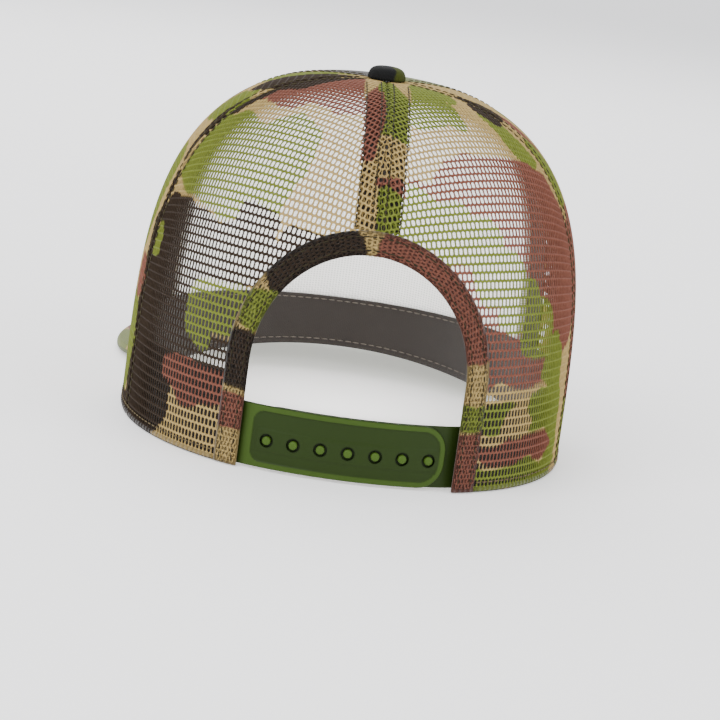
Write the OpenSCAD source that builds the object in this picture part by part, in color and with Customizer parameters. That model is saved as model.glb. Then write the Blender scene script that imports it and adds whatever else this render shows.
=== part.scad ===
// Mesh-back cap: a foam-backed front panel, four net panels, a curved visor, a covered button and
// a two-part peg strap across the rear opening.
// Millimetres. +Z is up, +Y points to the rear opening and +X to the wearer's left. The origin is
// the centre of the head opening, in the plane that the rim rests on.

/* [Crown] */
// Half of the crown's width at the rim
crown_half_width = 82; // [78:1:86]
// Half of the crown's length at the rim
crown_half_length = 97; // [93:1:101]
// Height of the crown under the button
crown_height = 130; // [122:1:138]
// Fullness of the rim's plan, where 2 is an ellipse
plan_power = 2.15; // [2:0.05:2.4]
// Upward squareness of the shoulder
top_power = 3.7; // [3.2:0.1:4.2]
// Outward squareness of the shoulder at the sides
side_shoulder = 2.6; // [2.3:0.1:3]
// Outward squareness of the shoulder at the rear
rear_shoulder = 2.3; // [2.1:0.1:2.6]
// Outward squareness of the shoulder at the front
front_shoulder = 3.1; // [2.6:0.1:3.4]

/* [Panels] */
// Azimuth of the seams between the rear and side panels
side_seam = 69; // [64:1:74]
// Azimuth of the seams between the side and front panels
front_seam = 123; // [120:1:126]
// Thickness of the net fabric
net_thick = 0.9; // [0.6:0.1:1]
// Thickness of the front panel's fabric
cloth_thick = 0.8; // [0.6:0.1:0.9]
// Thickness of the front panel's foam
foam_thick = 3.3; // [2.5:0.1:3.3]
// Width of the seam tapes
tape_width = 12; // [10:1:14]

/* [Rear opening] */
// Half of the opening's width
opening_half_width = 37.5; // [35:0.5:40]
// Height at which the opening's sides turn into its arch
opening_spring = 37; // [33:1:40]
// Height of the arch above its spring line
opening_rise = 42; // [36:1:44]
// Width of the folded binding round the opening
binding_width = 8.2; // [7:0.1:10]

/* [Sweatband] */
// Height of the sweatband
sweatband_height = 31; // [28:1:34]
// Thickness of the sweatband
sweatband_thick = 1.8; // [1.2:0.1:2]

/* [Straps] */
// Height of both straps
strap_height = 22; // [20:0.5:23]
// Distance between neighbouring pegs
peg_pitch = 9.5; // [9:0.1:9.6]
// Number of pegs, and of holes
peg_count = 7; // [5:2:7]
// Radius of a peg
peg_radius = 1.5; // [1.3:0.1:1.6]
// Radius of a hole
hole_radius = 2.4; // [2.4:0.1:2.6]
// Height of the peg line above the strap's lower edge
peg_line = 9.8; // [9:0.1:11]

/* [Visor] */
// Reach of the visor in front of the crown
visor_reach = 70; // [60:1:76]
// Rise of the visor's middle above its sides
visor_arch = 11; // [8:1:13]

/* [Hidden] */
$fn = 48;

// Layers are named by how far their face lies outside the crown's outer surface
layer_gap = 0.25;
seam_gap = 0.15;
tape_out = -1.2;
tape_in = -1.6;
fold_out = 0.8;
fold_in = -1.65;
band_rear = -1.9;
foam_out = -cloth_thick - layer_gap;
foam_in = foam_out - foam_thick;
band_front = foam_in - layer_gap;
steps_up = 24;
steps_per_turn = 84;

// The panels end round a hole for the button's shank
shank_hole = 4.2;
tape_end_radius = 13.5;
foam_end_radius = 15;

// The visor is a board between two covers
cover_thick = 0.7;
board_thick = 2;
cover_gap = 0.1;
visor_thick = 2 * (cover_thick + cover_gap) + board_thick;
visor_half_angle = 55;
visor_squareness = 2.6;
visor_fullness = 0.75;
visor_inner = foam_in;

// The straps are concentric arcs, with the drilled one outside
strap_base = 0.9;
strap_bead = 0.5;
strap_floor = 0.6;
border_width = 2.1;
border_corner = 4;
land_height = 7.8;
land_rise = 0.3;
land_end = 3.8;
tip_reach = 6;
tip_radius = 9;
peg_plate = 1.1;
peg_root = 0.5;
peg_stem = 1.45;
peg_dome = 0.7;
plate_gap = 0.15;
flex_inset = 1.5;
flex_gap = 0.6;
tab_span = 6;
strap_rear = 93.4;
hole_thick = strap_base + strap_bead;
hole_level = band_rear - 0.05 - hole_thick / 2;
peg_level = hole_level - hole_thick / 2 - plate_gap - peg_plate / 2;

// The button is a cloth-covered dome on a shank, held by a retainer inside the crown
button_radius = 7;
button_rim = 1;
button_dome = 3.6;
button_cloth = 0.5;
button_lift = 0.3;
shank_radius = 1.6;
retainer_radius = 6.5;
retainer_thick = 1.2;

// Plan radius of the rim at azimuth a, which is 0 at the rear and 90 at the wearer's left
function plan_radius(a) = pow(pow(abs(sin(a)) / crown_half_width, plan_power)
    + pow(abs(cos(a)) / crown_half_length, plan_power), -1 / plan_power);
function shoulder(a) = side_shoulder
    + (rear_shoulder - side_shoulder) * pow(max(cos(a), 0), 2)
    + (front_shoulder - side_shoulder) * pow(max(-cos(a), 0), 2);
// A meridian's position t runs from 0 at the rim to 1 at the button
function reach(a, t, d) = (plan_radius(a) + d) * pow(max(cos(90 * t * t), 0), 2 / shoulder(a));
function rise(t, d) = (crown_height + d) * pow(sin(90 * t * t), 2 / top_power);
function crown_point(a, t, d) = [reach(a, t, d) * sin(a), reach(a, t, d) * cos(a), rise(t, d)];
function t_at_height(z, d) = sqrt(asin(pow(max(z, 0) / (crown_height + d), top_power / 2)) / 90);
function t_at_radius(a, r) = sqrt(acos(pow(r / plan_radius(a), shoulder(a) / 2)) / 90);
function degrees(arc, radius) = arc / radius * 180 / PI;
function smooth(x) = let (u = max(0, min(1, x))) u * u * (3 - 2 * u);

// Plan radius of the visor's free edge at angle a from straight ahead, and its widest half-width
function visor_edge(a) = plan_radius(180 + a)
    + visor_reach * pow(1 - pow(abs(a) / visor_half_angle, visor_squareness), visor_fullness);
visor_half_width = max([for (a = [0:0.5:visor_half_angle]) visor_edge(a) * sin(a)]);

// Height of the visor's upper face, and of the cloth's lower edge at azimuth a
function visor_top(x) = visor_thick + visor_arch * (1 - pow(x / visor_half_width, 2));
function hem_height(a, d = 0) = let (b = abs(a), x = (plan_radius(a) + d) * sin(a))
    (visor_top(x) + layer_gap) * smooth((b - 88) / (180 - visor_half_angle - 88));
function band_hem(a) = hem_height(a)
    - (visor_thick + layer_gap) * smooth((abs(a) - 110) / (180 - visor_half_angle - 110));

// Closed shell between two equal grids of points, each a list of rows from the bottom up
module shell(outer, inner) {
    rows = len(outer);
    cols = len(outer[0]);
    count = rows * cols;
    last = rows - 1;
    side = cols - 1;
    function at(r, c) = r * cols + c;
    function quad(a, b, c, d) = [[a, b, c], [a, c, d]];
    faces = concat(
        [for (r = [0:rows - 2], c = [0:cols - 2])
            each quad(at(r, c), at(r, c + 1), at(r + 1, c + 1), at(r + 1, c))],
        [for (r = [0:rows - 2], c = [0:cols - 2])
            each quad(count + at(r, c), count + at(r + 1, c), count + at(r + 1, c + 1),
                      count + at(r, c + 1))],
        [for (c = [0:cols - 2])
            each quad(at(0, c), count + at(0, c), count + at(0, c + 1), at(0, c + 1))],
        [for (c = [0:cols - 2])
            each quad(at(last, c), at(last, c + 1), count + at(last, c + 1), count + at(last, c))],
        [for (r = [0:rows - 2])
            each quad(at(r, 0), at(r + 1, 0), count + at(r + 1, 0), count + at(r, 0))],
        [for (r = [0:rows - 2])
            each quad(at(r, side), count + at(r, side), count + at(r + 1, side), at(r + 1, side))]);
    polyhedron([for (row = outer) each row, for (row = inner) each row], faces, convexity = 8);
}

// Shell between two meridians, held a seam's width off each, from the hem to the shank hole
module crown_panel(from, to, d_out, d_in, margin, end_radius) {
    cols = ceil((to - from) / 360 * steps_per_turn);
    function azimuth(c, t) = let (r = reach(from, t, 0))
        from + degrees(margin, r) + (to - from - 2 * degrees(margin, r)) * c / cols;
    function level(c, r, d) = let (a = azimuth(c, 0),
        low = t_at_height(hem_height(a, d_in), d), high = t_at_radius(a, end_radius))
        low + (high - low) * r / steps_up;
    function grid(d) = [for (r = [0:steps_up]) [for (c = [0:cols])
        let (t = level(c, r, d)) crown_point(azimuth(c, t), t, d)]];
    shell(grid(d_out), grid(d_in));
}

// Strip of even width along one meridian, from height z up to a radius near the button
module crown_strip(a, half_width, z, d_out, d_in, end_radius) {
    low = t_at_height(z, d_out);
    high = t_at_radius(a, end_radius);
    function grid(d) = [for (r = [0:steps_up]) let (t = low + (high - low) * r / steps_up)
        [for (s = [-1, 0, 1]) crown_point(a + degrees(s * half_width, reach(a, t, 0)), t, d)]];
    shell(grid(d_out), grid(d_in));
}

// Patch of the crown between two azimuths and two heights
module crown_patch(from, to, cols, low, high, rows, d_out, d_in) {
    function grid(d) = [for (r = [0:rows]) [for (c = [0:cols])
        let (t_low = t_at_height(low, d), t_high = t_at_height(high, d))
        crown_point(from + (to - from) * c / cols, t_low + (t_high - t_low) * r / rows, d)]];
    shell(grid(d_out), grid(d_in));
}

// The rear opening, grown all round by g, as a prism that runs through the crown's rear wall
module opening_prism(g) {
    arch_steps = 28;
    outline = [[-opening_half_width - g, -5],
        for (k = [0:arch_steps]) let (b = 180 - 180 * k / arch_steps)
            [(opening_half_width + g) * cos(b), opening_spring + (opening_rise + g) * sin(b)],
        [opening_half_width + g, -5]];
    translate([0, 130, 0]) rotate([90, 0, 0]) linear_extrude(90) polygon(outline);
}

module front_panel() {
    color("#a08a5c") crown_panel(front_seam, 360 - front_seam, 0, -cloth_thick, seam_gap, shank_hole);
}

module front_foam() {
    color("#d8d2c0") crown_panel(front_seam, 360 - front_seam, foam_out, foam_in,
                                 tape_width / 2 + 0.8, foam_end_radius);
}

module side_panel() {
    color("#7d8a3c") crown_panel(side_seam, front_seam, 0, -net_thick, seam_gap, shank_hole);
}

module back_panel() {
    color("#b59c6c") difference() {
        crown_panel(0, side_seam, 0, -net_thick, seam_gap, shank_hole);
        opening_prism(0.8);
    }
}

module back_seam_tape() {
    color("#2e2a26") crown_strip(0, 7.5, opening_spring + opening_rise + binding_width + 1,
                                 tape_out, tape_in, tape_end_radius);
}

module side_seam_tape() {
    color("#2e2a26") crown_strip(side_seam, tape_width / 2, 0.3, tape_out, tape_in, tape_end_radius);
}

module front_seam_tape() {
    color("#2e2a26") crown_strip(front_seam, tape_width / 2, hem_height(front_seam) + 1, tape_out,
                                 tape_in, tape_end_radius);
}

// Azimuth at which the straps turn, and the run of their sewn tabs beyond it
flex_half_width = opening_half_width - flex_inset;
flex_azimuth = atan2(flex_half_width, crown_half_length
    * pow(1 - pow(flex_half_width / crown_half_width, plan_power), 1 / plan_power));
tab_start = flex_azimuth + degrees(flex_gap, plan_radius(flex_azimuth));
tab_stop = tab_start + tab_span;

module sweatband() {
    from = tab_stop + 0.4;
    cols = 80;
    rows = 4;
    function level(a) = band_rear + (band_front - band_rear) * smooth((80 - abs(180 - a)) / 24);
    function grid(thick) = [for (r = [0:rows]) [for (c = [0:cols])
        let (a = from + (360 - 2 * from) * c / cols, d = level(a) - thick, b = a > 180 ? a - 360 : a,
             low = t_at_height(band_hem(b), d), high = t_at_height(sweatband_height, d))
        crown_point(a, low + (high - low) * r / rows, d)]];
    color("#33302c") shell(grid(0), grid(sweatband_thick));
}

// Folded strip over the opening's edge, slotted to take the net
module opening_binding() {
    top = opening_spring + opening_rise + binding_width + 6;
    color("#6d4a36") difference() {
        intersection() {
            crown_patch(-36, 36, 20, 0, top, 12, fold_out, fold_in);
            opening_prism(binding_width);
        }
        opening_prism(0);
        difference() {
            crown_patch(-39, 39, 22, -1, top + 4, 13, layer_gap, -net_thick - layer_gap);
            opening_prism(0.5);
        }
    }
}

// Dome with a straight rim: a slice of a sphere on a disc
module dome(radius, rim, rise) {
    ball = (radius * radius + rise * rise) / (2 * rise);
    cylinder(r = radius, h = rim);
    translate([0, 0, rim]) intersection() {
        translate([0, 0, rise - ball]) sphere(r = ball, $fn = 96);
        cylinder(r = radius, h = rise + 1);
    }
}

module button_cover() {
    color("#3b3a38") translate([0, 0, crown_height + button_lift]) difference() {
        dome(button_radius, button_rim, button_dome);
        translate([0, 0, button_cloth])
            dome(button_radius - button_cloth, button_rim - button_cloth, button_dome - button_cloth);
        translate([0, 0, -1]) cylinder(r = button_radius / 2, h = 2);
    }
}

module button_core() {
    gap = 0.1;
    skin = button_cloth + gap;
    shank_foot = -button_lift - net_thick - layer_gap - retainer_thick - 0.4;
    color("silver") translate([0, 0, crown_height + button_lift]) {
        translate([0, 0, skin])
            dome(button_radius - skin, button_rim - button_cloth, button_dome - skin);
        translate([0, 0, shank_foot]) cylinder(r = shank_radius, h = 1 - shank_foot);
    }
}

module button_retainer() {
    clearance = 0.05;
    top = crown_height - net_thick - layer_gap;
    color("#26241f") translate([0, 0, top - retainer_thick]) difference() {
        cylinder(r = retainer_radius, h = retainer_thick);
        translate([0, 0, -1]) cylinder(r = shank_radius + clearance, h = retainer_thick + 2);
    }
}

// Visor -------------------------------------------------------------------------------------

// Plan point at angle a from straight ahead; v runs from the crown seam to the free edge
function visor_point(a, v, depth) = let (b = 180 + a, inner = plan_radius(b) + visor_inner,
    r = inner + (visor_edge(a) - inner) * v, x = r * sin(b))
    [x, r * cos(b), visor_top(x) - depth];

module visor_layer(depth, thick) {
    cols = 40;
    rows = 6;
    function grid(deep) = [for (r = [0:rows]) [for (c = [0:cols])
        visor_point(visor_half_angle * sin(90 * (2 * c / cols - 1)), r / rows, deep)]];
    shell(grid(depth + thick), grid(depth));
}

module visor_top_cover() {
    color("#a08a5c") visor_layer(0, cover_thick);
}

module visor_board() {
    color("#e8e4da") visor_layer(cover_thick + cover_gap, board_thick);
}

module visor_under_cover() {
    color("#8a8f52") visor_layer(visor_thick - cover_thick, cover_thick);
}

// Straps ------------------------------------------------------------------------------------

// Each strap turns about an upright line at the opening's side; the arcs share one centre
hole_foot = crown_point(flex_azimuth, 0, hole_level);
strap_bow = strap_rear - hole_foot[1];
strap_radius = (pow(hole_foot[0], 2) + pow(strap_bow, 2)) / (2 * strap_bow);
strap_centre = strap_rear - strap_radius;
hole_inner = strap_radius - hole_thick / 2;
peg_outer = hole_inner - plate_gap;
flex_angle = asin(hole_foot[0] / strap_radius);
root_angle = flex_angle - degrees(flex_gap, strap_radius);
peg_span = (peg_count - 1) / 2 * peg_pitch;
tip_angle = degrees(peg_span + tip_reach, strap_radius);
land_angle = degrees(peg_span + land_end, strap_radius);
field_angle = tip_angle - degrees(border_width, strap_radius);
peg_height = strap_floor + peg_line;

// Wall on the straps' arc, between two angles counted from +Y towards -X
module arc_wall(r_in, thick, z, height, from, to) {
    translate([0, strap_centre, 0]) rotate([0, 0, 90 + from])
        rotate_extrude(angle = to - from, $fn = 180) translate([r_in, z]) square([thick, height]);
}

// Frame at one place on the arc, with +Z pointing out of it
module on_arc(angle, z) {
    translate([0, strap_centre, z]) rotate([0, 0, angle]) rotate([-90, 0, 0]) children();
}

// What rounding takes off both corners of a wall's end; side is 1 where the end faces -X. The
// rounding meets the wall's edges at a slight angle, a hair outside a true tangent.
module end_corners(angle, side, height, corner) {
    reach_out = strap_radius + 10;
    hair = 0.05;
    on_arc(angle, strap_floor + strap_height / 2)
        for (up = [0, 1])
            mirror([side > 0 ? 0 : 1, 0, 0]) mirror([0, up, 0])
                translate([0, 0, 10]) linear_extrude(reach_out) difference() {
                    translate([-1, height / 2 - corner]) square([corner + 1, corner + 1]);
                    translate([corner, height / 2 - corner]) circle(r = corner + hair);
                }
}

// The sunk field between the strap's border and its central land
module strap_field() {
    height = strap_height - 2 * border_width;
    difference() {
        arc_wall(hole_inner + strap_base, strap_bead + 1, strap_floor + border_width, height,
                 -land_angle, field_angle);
        end_corners(field_angle, 1, height, tip_radius - border_width);
        end_corners(-land_angle, -1, height, border_corner);
        arc_wall(hole_inner, strap_base + land_rise, peg_height - land_height / 2, land_height,
                 -land_angle - 1, land_angle);
    }
}

module hole_strap() {
    color("#5d7a35") difference() {
        arc_wall(hole_inner, hole_thick, strap_floor, strap_height, -root_angle, tip_angle);
        end_corners(tip_angle, 1, strap_height, tip_radius);
        strap_field();
        for (k = [0:peg_count - 1])
            on_arc(degrees(k * peg_pitch - peg_span, strap_radius), peg_height)
                translate([0, 0, hole_inner - 1]) cylinder(r = hole_radius, h = hole_thick + 2);
    }
}

// Round peg with a domed head and a small flat on its crown, sunk into the strap that carries it
module peg() {
    flat = 0.03;
    ball = (peg_radius * peg_radius + peg_dome * peg_dome) / (2 * peg_dome);
    height = peg_root + peg_stem + peg_dome;
    intersection() {
        cylinder(r = peg_radius, h = height - flat);
        translate([0, 0, height - ball]) sphere(r = ball);
    }
}

module peg_strap() {
    color("#57723a") union() {
        difference() {
            arc_wall(peg_outer - peg_plate, peg_plate, strap_floor, strap_height, -tip_angle,
                     root_angle);
            end_corners(-tip_angle, -1, strap_height, tip_radius);
        }
        for (k = [0:peg_count - 1])
            on_arc(degrees(k * peg_pitch - peg_span, strap_radius), peg_height)
                translate([0, 0, peg_outer - peg_root]) peg();
    }
}

module hole_strap_tab() {
    color("#5d7a35") crown_patch(tab_start, tab_stop, 4, strap_floor, strap_floor + strap_height, 4,
                                 hole_level + hole_thick / 2, hole_level - hole_thick / 2);
}

module peg_strap_tab() {
    color("#57723a") crown_patch(-tab_stop, -tab_start, 4, strap_floor, strap_floor + strap_height,
                                 4, peg_level + peg_plate / 2, peg_level - peg_plate / 2);
}

// The right-hand pieces mirror the left-hand ones
module right() {
    mirror([1, 0, 0]) children();
}

front_panel();
front_foam();
side_panel();  // side_panel_left
right() side_panel();  // side_panel_right
back_panel();  // back_panel_left
right() back_panel();  // back_panel_right
back_seam_tape();
side_seam_tape();  // side_seam_tape_left
right() side_seam_tape();  // side_seam_tape_right
front_seam_tape();  // front_seam_tape_left
right() front_seam_tape();  // front_seam_tape_right
sweatband();
opening_binding();
button_cover();
button_core();
button_retainer();
visor_board();
visor_top_cover();
visor_under_cover();
hole_strap_tab();
hole_strap();
peg_strap_tab();
peg_strap();
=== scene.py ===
"""Mesh-back cap: cloth, net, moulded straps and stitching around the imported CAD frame."""
import math

import bpy
import numpy as np
from mathutils import Matrix, Vector


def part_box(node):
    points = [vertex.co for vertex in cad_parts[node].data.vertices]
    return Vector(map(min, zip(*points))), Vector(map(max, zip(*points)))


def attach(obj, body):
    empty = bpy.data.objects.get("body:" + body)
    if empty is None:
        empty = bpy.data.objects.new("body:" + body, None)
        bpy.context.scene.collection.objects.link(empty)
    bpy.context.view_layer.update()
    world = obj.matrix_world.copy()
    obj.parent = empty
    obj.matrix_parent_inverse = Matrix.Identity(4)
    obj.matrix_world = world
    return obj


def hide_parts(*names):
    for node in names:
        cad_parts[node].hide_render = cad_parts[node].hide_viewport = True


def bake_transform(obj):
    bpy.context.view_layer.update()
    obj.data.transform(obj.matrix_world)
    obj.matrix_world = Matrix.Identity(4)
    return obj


bl_info = {
    "name": "Mesh-back cap",
    "version": (1, 0, 0),
    "blender": (4, 5, 0),
    "location": "3D View > Sidebar > Cap",
    "description": "Builds the cloth, net, straps and stitching of a mesh-back cap on its CAD frame",
    "category": "Mesh",
}

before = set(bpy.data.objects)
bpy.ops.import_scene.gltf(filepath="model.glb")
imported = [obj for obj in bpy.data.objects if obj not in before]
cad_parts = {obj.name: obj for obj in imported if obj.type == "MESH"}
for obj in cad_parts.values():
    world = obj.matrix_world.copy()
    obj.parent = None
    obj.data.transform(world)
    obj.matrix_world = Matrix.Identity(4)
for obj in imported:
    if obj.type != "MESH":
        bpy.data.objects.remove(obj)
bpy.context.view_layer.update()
MM = 0.001


# Sizes and colours

def length(name, description, default):
    return bpy.props.FloatProperty(name=name, description=description, default=default, unit="LENGTH",
                                   precision=4)


def colour(name, description, default):
    return bpy.props.FloatVectorProperty(name=name, description=description, default=default, size=3,
                                         subtype="COLOR", min=0, max=1)


class CapSizes(bpy.types.PropertyGroup):
    half_width: length("Half width", "Half of the crown's width at the rim",
                       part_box("side_panel_left")[1].x)
    half_length: length("Half length", "Half of the crown's length at the rim", 97 * MM)
    height: length("Height", "Height of the crown under the button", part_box("back_panel_left")[1].z)
    net_pitch: length("Net pitch", "Distance between neighbouring holes of the net", 1.75 * MM)
    net_row: length("Net row", "Distance between rows of holes", 3.05 * MM)
    net_bar: length("Net bar", "Width of the yarn between neighbouring holes", 0.62 * MM)
    net_yarn: length("Net yarn", "Height of the zigzag yarn between rows of holes", 1.18 * MM)
    opening_half_width: length("Opening half width", "Half of the rear opening's width", 37.5 * MM)
    opening_spring: length("Opening spring", "Height at which the opening's arch begins", 37 * MM)
    opening_rise: length("Opening rise", "Height of the arch over its spring line", 42 * MM)
    binding_width: length("Binding width", "Width of the binding round the opening", 8.2 * MM)
    band_height: length("Sweatband height", "Height of the sweatband", 31 * MM)
    visor_reach: length("Visor reach", "Reach of the visor in front of the crown", 70 * MM)
    strap_height: length("Strap height", "Height of the straps", 22 * MM)
    peg_pitch: length("Peg pitch", "Distance between neighbouring pegs", 9.5 * MM)


class CapColours(bpy.types.PropertyGroup):
    tan: colour("Tan", "Ground colour of the print", (0.375, 0.265, 0.098))
    green: colour("Green", "Leaf colour of the print", (0.140, 0.168, 0.023))
    red_brown: colour("Red-brown", "Earth colour of the print", (0.172, 0.062, 0.040))
    dark: colour("Dark brown", "Shadow colour of the print", (0.026, 0.016, 0.009))
    strap: colour("Strap", "Moulded plastic of the straps", (0.020, 0.038, 0.0045))
    band: colour("Sweatband", "Cotton of the sweatband", (0.030, 0.025, 0.022))
    foam: colour("Foam", "Backing of the front panel's foam", (0.93, 0.92, 0.89))
    lining: colour("Lining", "Cloth under the visor", (0.10, 0.12, 0.035))
    button: colour("Button", "Cloth of the button", (0.009, 0.009, 0.009))


def sizes():
    return bpy.context.scene.cap_sizes


def colours():
    return bpy.context.scene.cap_colours


# The crown's surface --------------------------------------------------------------------------
# A place on the crown is an azimuth in degrees, 0 at the rear and 90 at the wearer's left, a
# position t on that meridian, 0 at the rim and 1 at the button, and a distance d outwards.

PLAN_POWER = 2.15
TOP_POWER = 3.7
SIDE_SHOULDER, REAR_SHOULDER, FRONT_SHOULDER = 2.6, 2.3, 3.1
SIDE_SEAM, FRONT_SEAM = 69.0, 123.0
VISOR_HALF_ANGLE = 55.0
VISOR_SQUARENESS = 2.6
VISOR_FULLNESS = 0.75
VISOR_THICK = 3.6 * MM
VISOR_ARCH = 11 * MM
LAYER_GAP = 0.25 * MM
BUTTON_CLEAR = 4.6 * MM


def plan_radius(a):
    s, c = np.abs(np.sin(np.radians(a))), np.abs(np.cos(np.radians(a)))
    across, along = s / sizes().half_width, c / sizes().half_length
    return (across ** PLAN_POWER + along ** PLAN_POWER) ** (-1 / PLAN_POWER)


def shoulder(a):
    c = np.cos(np.radians(a))
    return (SIDE_SHOULDER + (REAR_SHOULDER - SIDE_SHOULDER) * np.maximum(c, 0) ** 2
            + (FRONT_SHOULDER - SIDE_SHOULDER) * np.maximum(-c, 0) ** 2)


def reach(a, t, d=0.0):
    return (plan_radius(a) + d) * np.maximum(np.cos(np.radians(90 * t * t)), 0) ** (2 / shoulder(a))


def rise(t, d=0.0):
    return (sizes().height + d) * np.sin(np.radians(90 * t * t)) ** (2 / TOP_POWER)


def lengths_along(line):
    """Distance of each point of a line from its start."""
    return np.concatenate([[0], np.cumsum(np.linalg.norm(np.diff(line, axis=0), axis=1))])


def plan_point(a, r):
    """Places x and y at azimuth a and distance r from the crown's axis."""
    return r * np.sin(np.radians(a)), r * np.cos(np.radians(a))


def crown_point(a, t, d=0.0):
    a, t, d = np.broadcast_arrays(np.asarray(a, float), t, d)
    return np.stack([*plan_point(a, reach(a, t, d)), rise(t, d)], -1)


def girth(a, t):
    """Radius of the crown there, kept off zero at the button."""
    return np.maximum(reach(a, t), 1 * MM)


def t_at_height(z, d=0.0):
    part = (np.maximum(z, 0) / (sizes().height + d)) ** (TOP_POWER / 2)
    return np.sqrt(np.degrees(np.arcsin(np.minimum(part, 1))) / 90)


def t_at_radius(a, r):
    return np.sqrt(np.degrees(np.arccos((r / plan_radius(a)) ** (shoulder(a) / 2))) / 90)


def crown_normal(a, t):
    step_a, step_t = 0.2, 0.002
    across = crown_point(a + step_a, t) - crown_point(a - step_a, t)
    up = crown_point(a, np.minimum(t + step_t, 1)) - crown_point(a, np.maximum(t - step_t, 0))
    n = np.cross(up, across)
    return n / np.maximum(np.linalg.norm(n, axis=-1, keepdims=True), 1e-12)


def smooth(x):
    u = np.clip(x, 0, 1)
    return u * u * (3 - 2 * u)


def wrapped(a):
    return (np.asarray(a, float) + 180) % 360 - 180


def visor_edge(a):
    fall = np.maximum(1 - (np.abs(a) / VISOR_HALF_ANGLE) ** VISOR_SQUARENESS, 0) ** VISOR_FULLNESS
    return plan_radius(180 + a) + sizes().visor_reach * fall


def visor_half_width():
    a = np.arange(0, VISOR_HALF_ANGLE + 0.1, 0.5)
    return np.max(visor_edge(a) * np.sin(np.radians(a)))


def visor_top(x):
    return VISOR_THICK + VISOR_ARCH * (1 - (x / visor_half_width()) ** 2)


def hem_height(a, d=0.0):
    b = np.abs(wrapped(a))
    x = (plan_radius(a) + d) * np.sin(np.radians(a))
    return (visor_top(x) + LAYER_GAP) * smooth((b - 88) / (180 - VISOR_HALF_ANGLE - 88))


def band_hem(a):
    b = np.abs(wrapped(a))
    return hem_height(a) - (VISOR_THICK + LAYER_GAP) * smooth((b - 110) / (180 - VISOR_HALF_ANGLE - 110))


def azimuth_at(x, t, d=0.0):
    """Azimuth at which the rear of the crown passes through x at position t."""
    a = np.degrees(np.arcsin(np.clip(x / reach(0.0, t, d), -0.95, 0.95)))
    for _ in range(12):
        a = np.degrees(np.arcsin(np.clip(x / reach(a, t, d), -0.99, 0.99)))
    return a


def past_opening(x, z):
    """How far outside the rear opening's edge a place of the rear wall lies."""
    s = sizes()
    up = np.maximum(z - s.opening_spring, 0)
    stretch = s.opening_half_width / s.opening_rise
    return np.hypot(x, up * stretch) - s.opening_half_width


# Print

TAN, GREEN, RED, DARK = range(4)

# Patches of the print: colour, azimuth and position of the middle, half extents, turn in degrees
REAR_LEFT_PRINT = [
    (RED, 26, 0.92, 36, 0.09, 0), (GREEN, 6, 0.97, 14, 0.035, 0), (RED, 52, 0.84, 16, 0.035, 0),
    (DARK, 68, 0.92, 16, 0.07, 0), (DARK, 66, 0.80, 4, 0.05, 0),
    (GREEN, 48, 0.645, 26, 0.11, 8), (GREEN, 32, 0.70, 12, 0.09, 0), (GREEN, 27, 0.60, 5, 0.05, 0),
    (DARK, 40, 0.46, 32, 0.065, 0), (DARK, 28, 0.53, 6, 0.055, 0), (DARK, 14, 0.51, 7, 0.045, 0),
    (DARK, 58, 0.26, 15, 0.28, 0), (DARK, 34, 0.235, 12, 0.055, 0), (DARK, 45, 0.33, 8, 0.14, 0),
    (GREEN, 33, 0.35, 10, 0.055, 0), (GREEN, 39, 0.29, 4, 0.05, 0),
    (RED, 36, 0.165, 12, 0.045, 0), (DARK, 62, 0.04, 14, 0.05, 0), (GREEN, 67, 0.44, 4, 0.035, 0),
]
REAR_RIGHT_PRINT = [
    (GREEN, -20, 0.90, 22, 0.085, 0), (GREEN, -44, 0.95, 20, 0.04, 0), (GREEN, -58, 0.80, 6, 0.07, 0),
    (RED, -38, 0.64, 27, 0.115, 0), (RED, -14, 0.665, 12, 0.025, 0), (RED, -46, 0.50, 24, 0.22, 0),
    (RED, -26, 0.42, 14, 0.16, 0), (RED, -38, 0.33, 16, 0.085, 0),
    (GREEN, -7, 0.62, 7, 0.05, 0), (GREEN, -14, 0.60, 9, 0.055, 0), (GREEN, -23, 0.555, 9, 0.055, 0),
    (GREEN, -31, 0.49, 8, 0.06, 0), (GREEN, -38, 0.43, 7, 0.06, 0), (GREEN, -45, 0.37, 7, 0.06, 0),
    (GREEN, -52.5, 0.31, 5, 0.06, 0), (GREEN, -56, 0.23, 5, 0.10, 0), (GREEN, -59, 0.14, 5, 0.10, 0),
    (TAN, -33, 0.225, 11, 0.024, 0), (GREEN, -30, 0.185, 7, 0.035, 0), (GREEN, -51, 0.19, 9, 0.055, 0),
    (TAN, -40, 0.165, 6, 0.035, 0), (RED, -43, 0.105, 16, 0.030, 0), (GREEN, -42, 0.035, 22, 0.040, 0),
    (DARK, -62, 0.86, 6, 0.035, 0),
]
SIDE_LEFT_PRINT = [
    (DARK, 84, 0.90, 18, 0.08, 0), (GREEN, 82, 0.76, 16, 0.06, 0), (DARK, 72, 0.70, 3, 0.10, 0),
    (GREEN, 84, 0.52, 8, 0.13, 0), (DARK, 71, 0.28, 3, 0.30, 0), (GREEN, 82, 0.17, 10, 0.13, 0),
    (RED, 76, 0.33, 4, 0.05, 0), (RED, 104, 0.35, 12, 0.16, 0), (DARK, 112, 0.70, 10, 0.12, 0),
    (DARK, 84, 0.02, 14, 0.035, 0), (GREEN, 110, 0.90, 10, 0.06, 0),
]
SIDE_RIGHT_PRINT = [
    (DARK, -74, 0.88, 10, 0.035, 0), (GREEN, -74, 0.70, 8, 0.085, 0), (RED, -82, 0.48, 18, 0.15, 0),
    (RED, -73, 0.28, 7, 0.14, 0), (GREEN, -104, 0.76, 12, 0.09, 0), (DARK, -110, 0.42, 10, 0.12, 0),
    (GREEN, -98, 0.14, 14, 0.09, 0), (GREEN, -70, 0.10, 4, 0.09, 0), (RED, -80, 0.80, 5, 0.05, 0),
]
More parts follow.
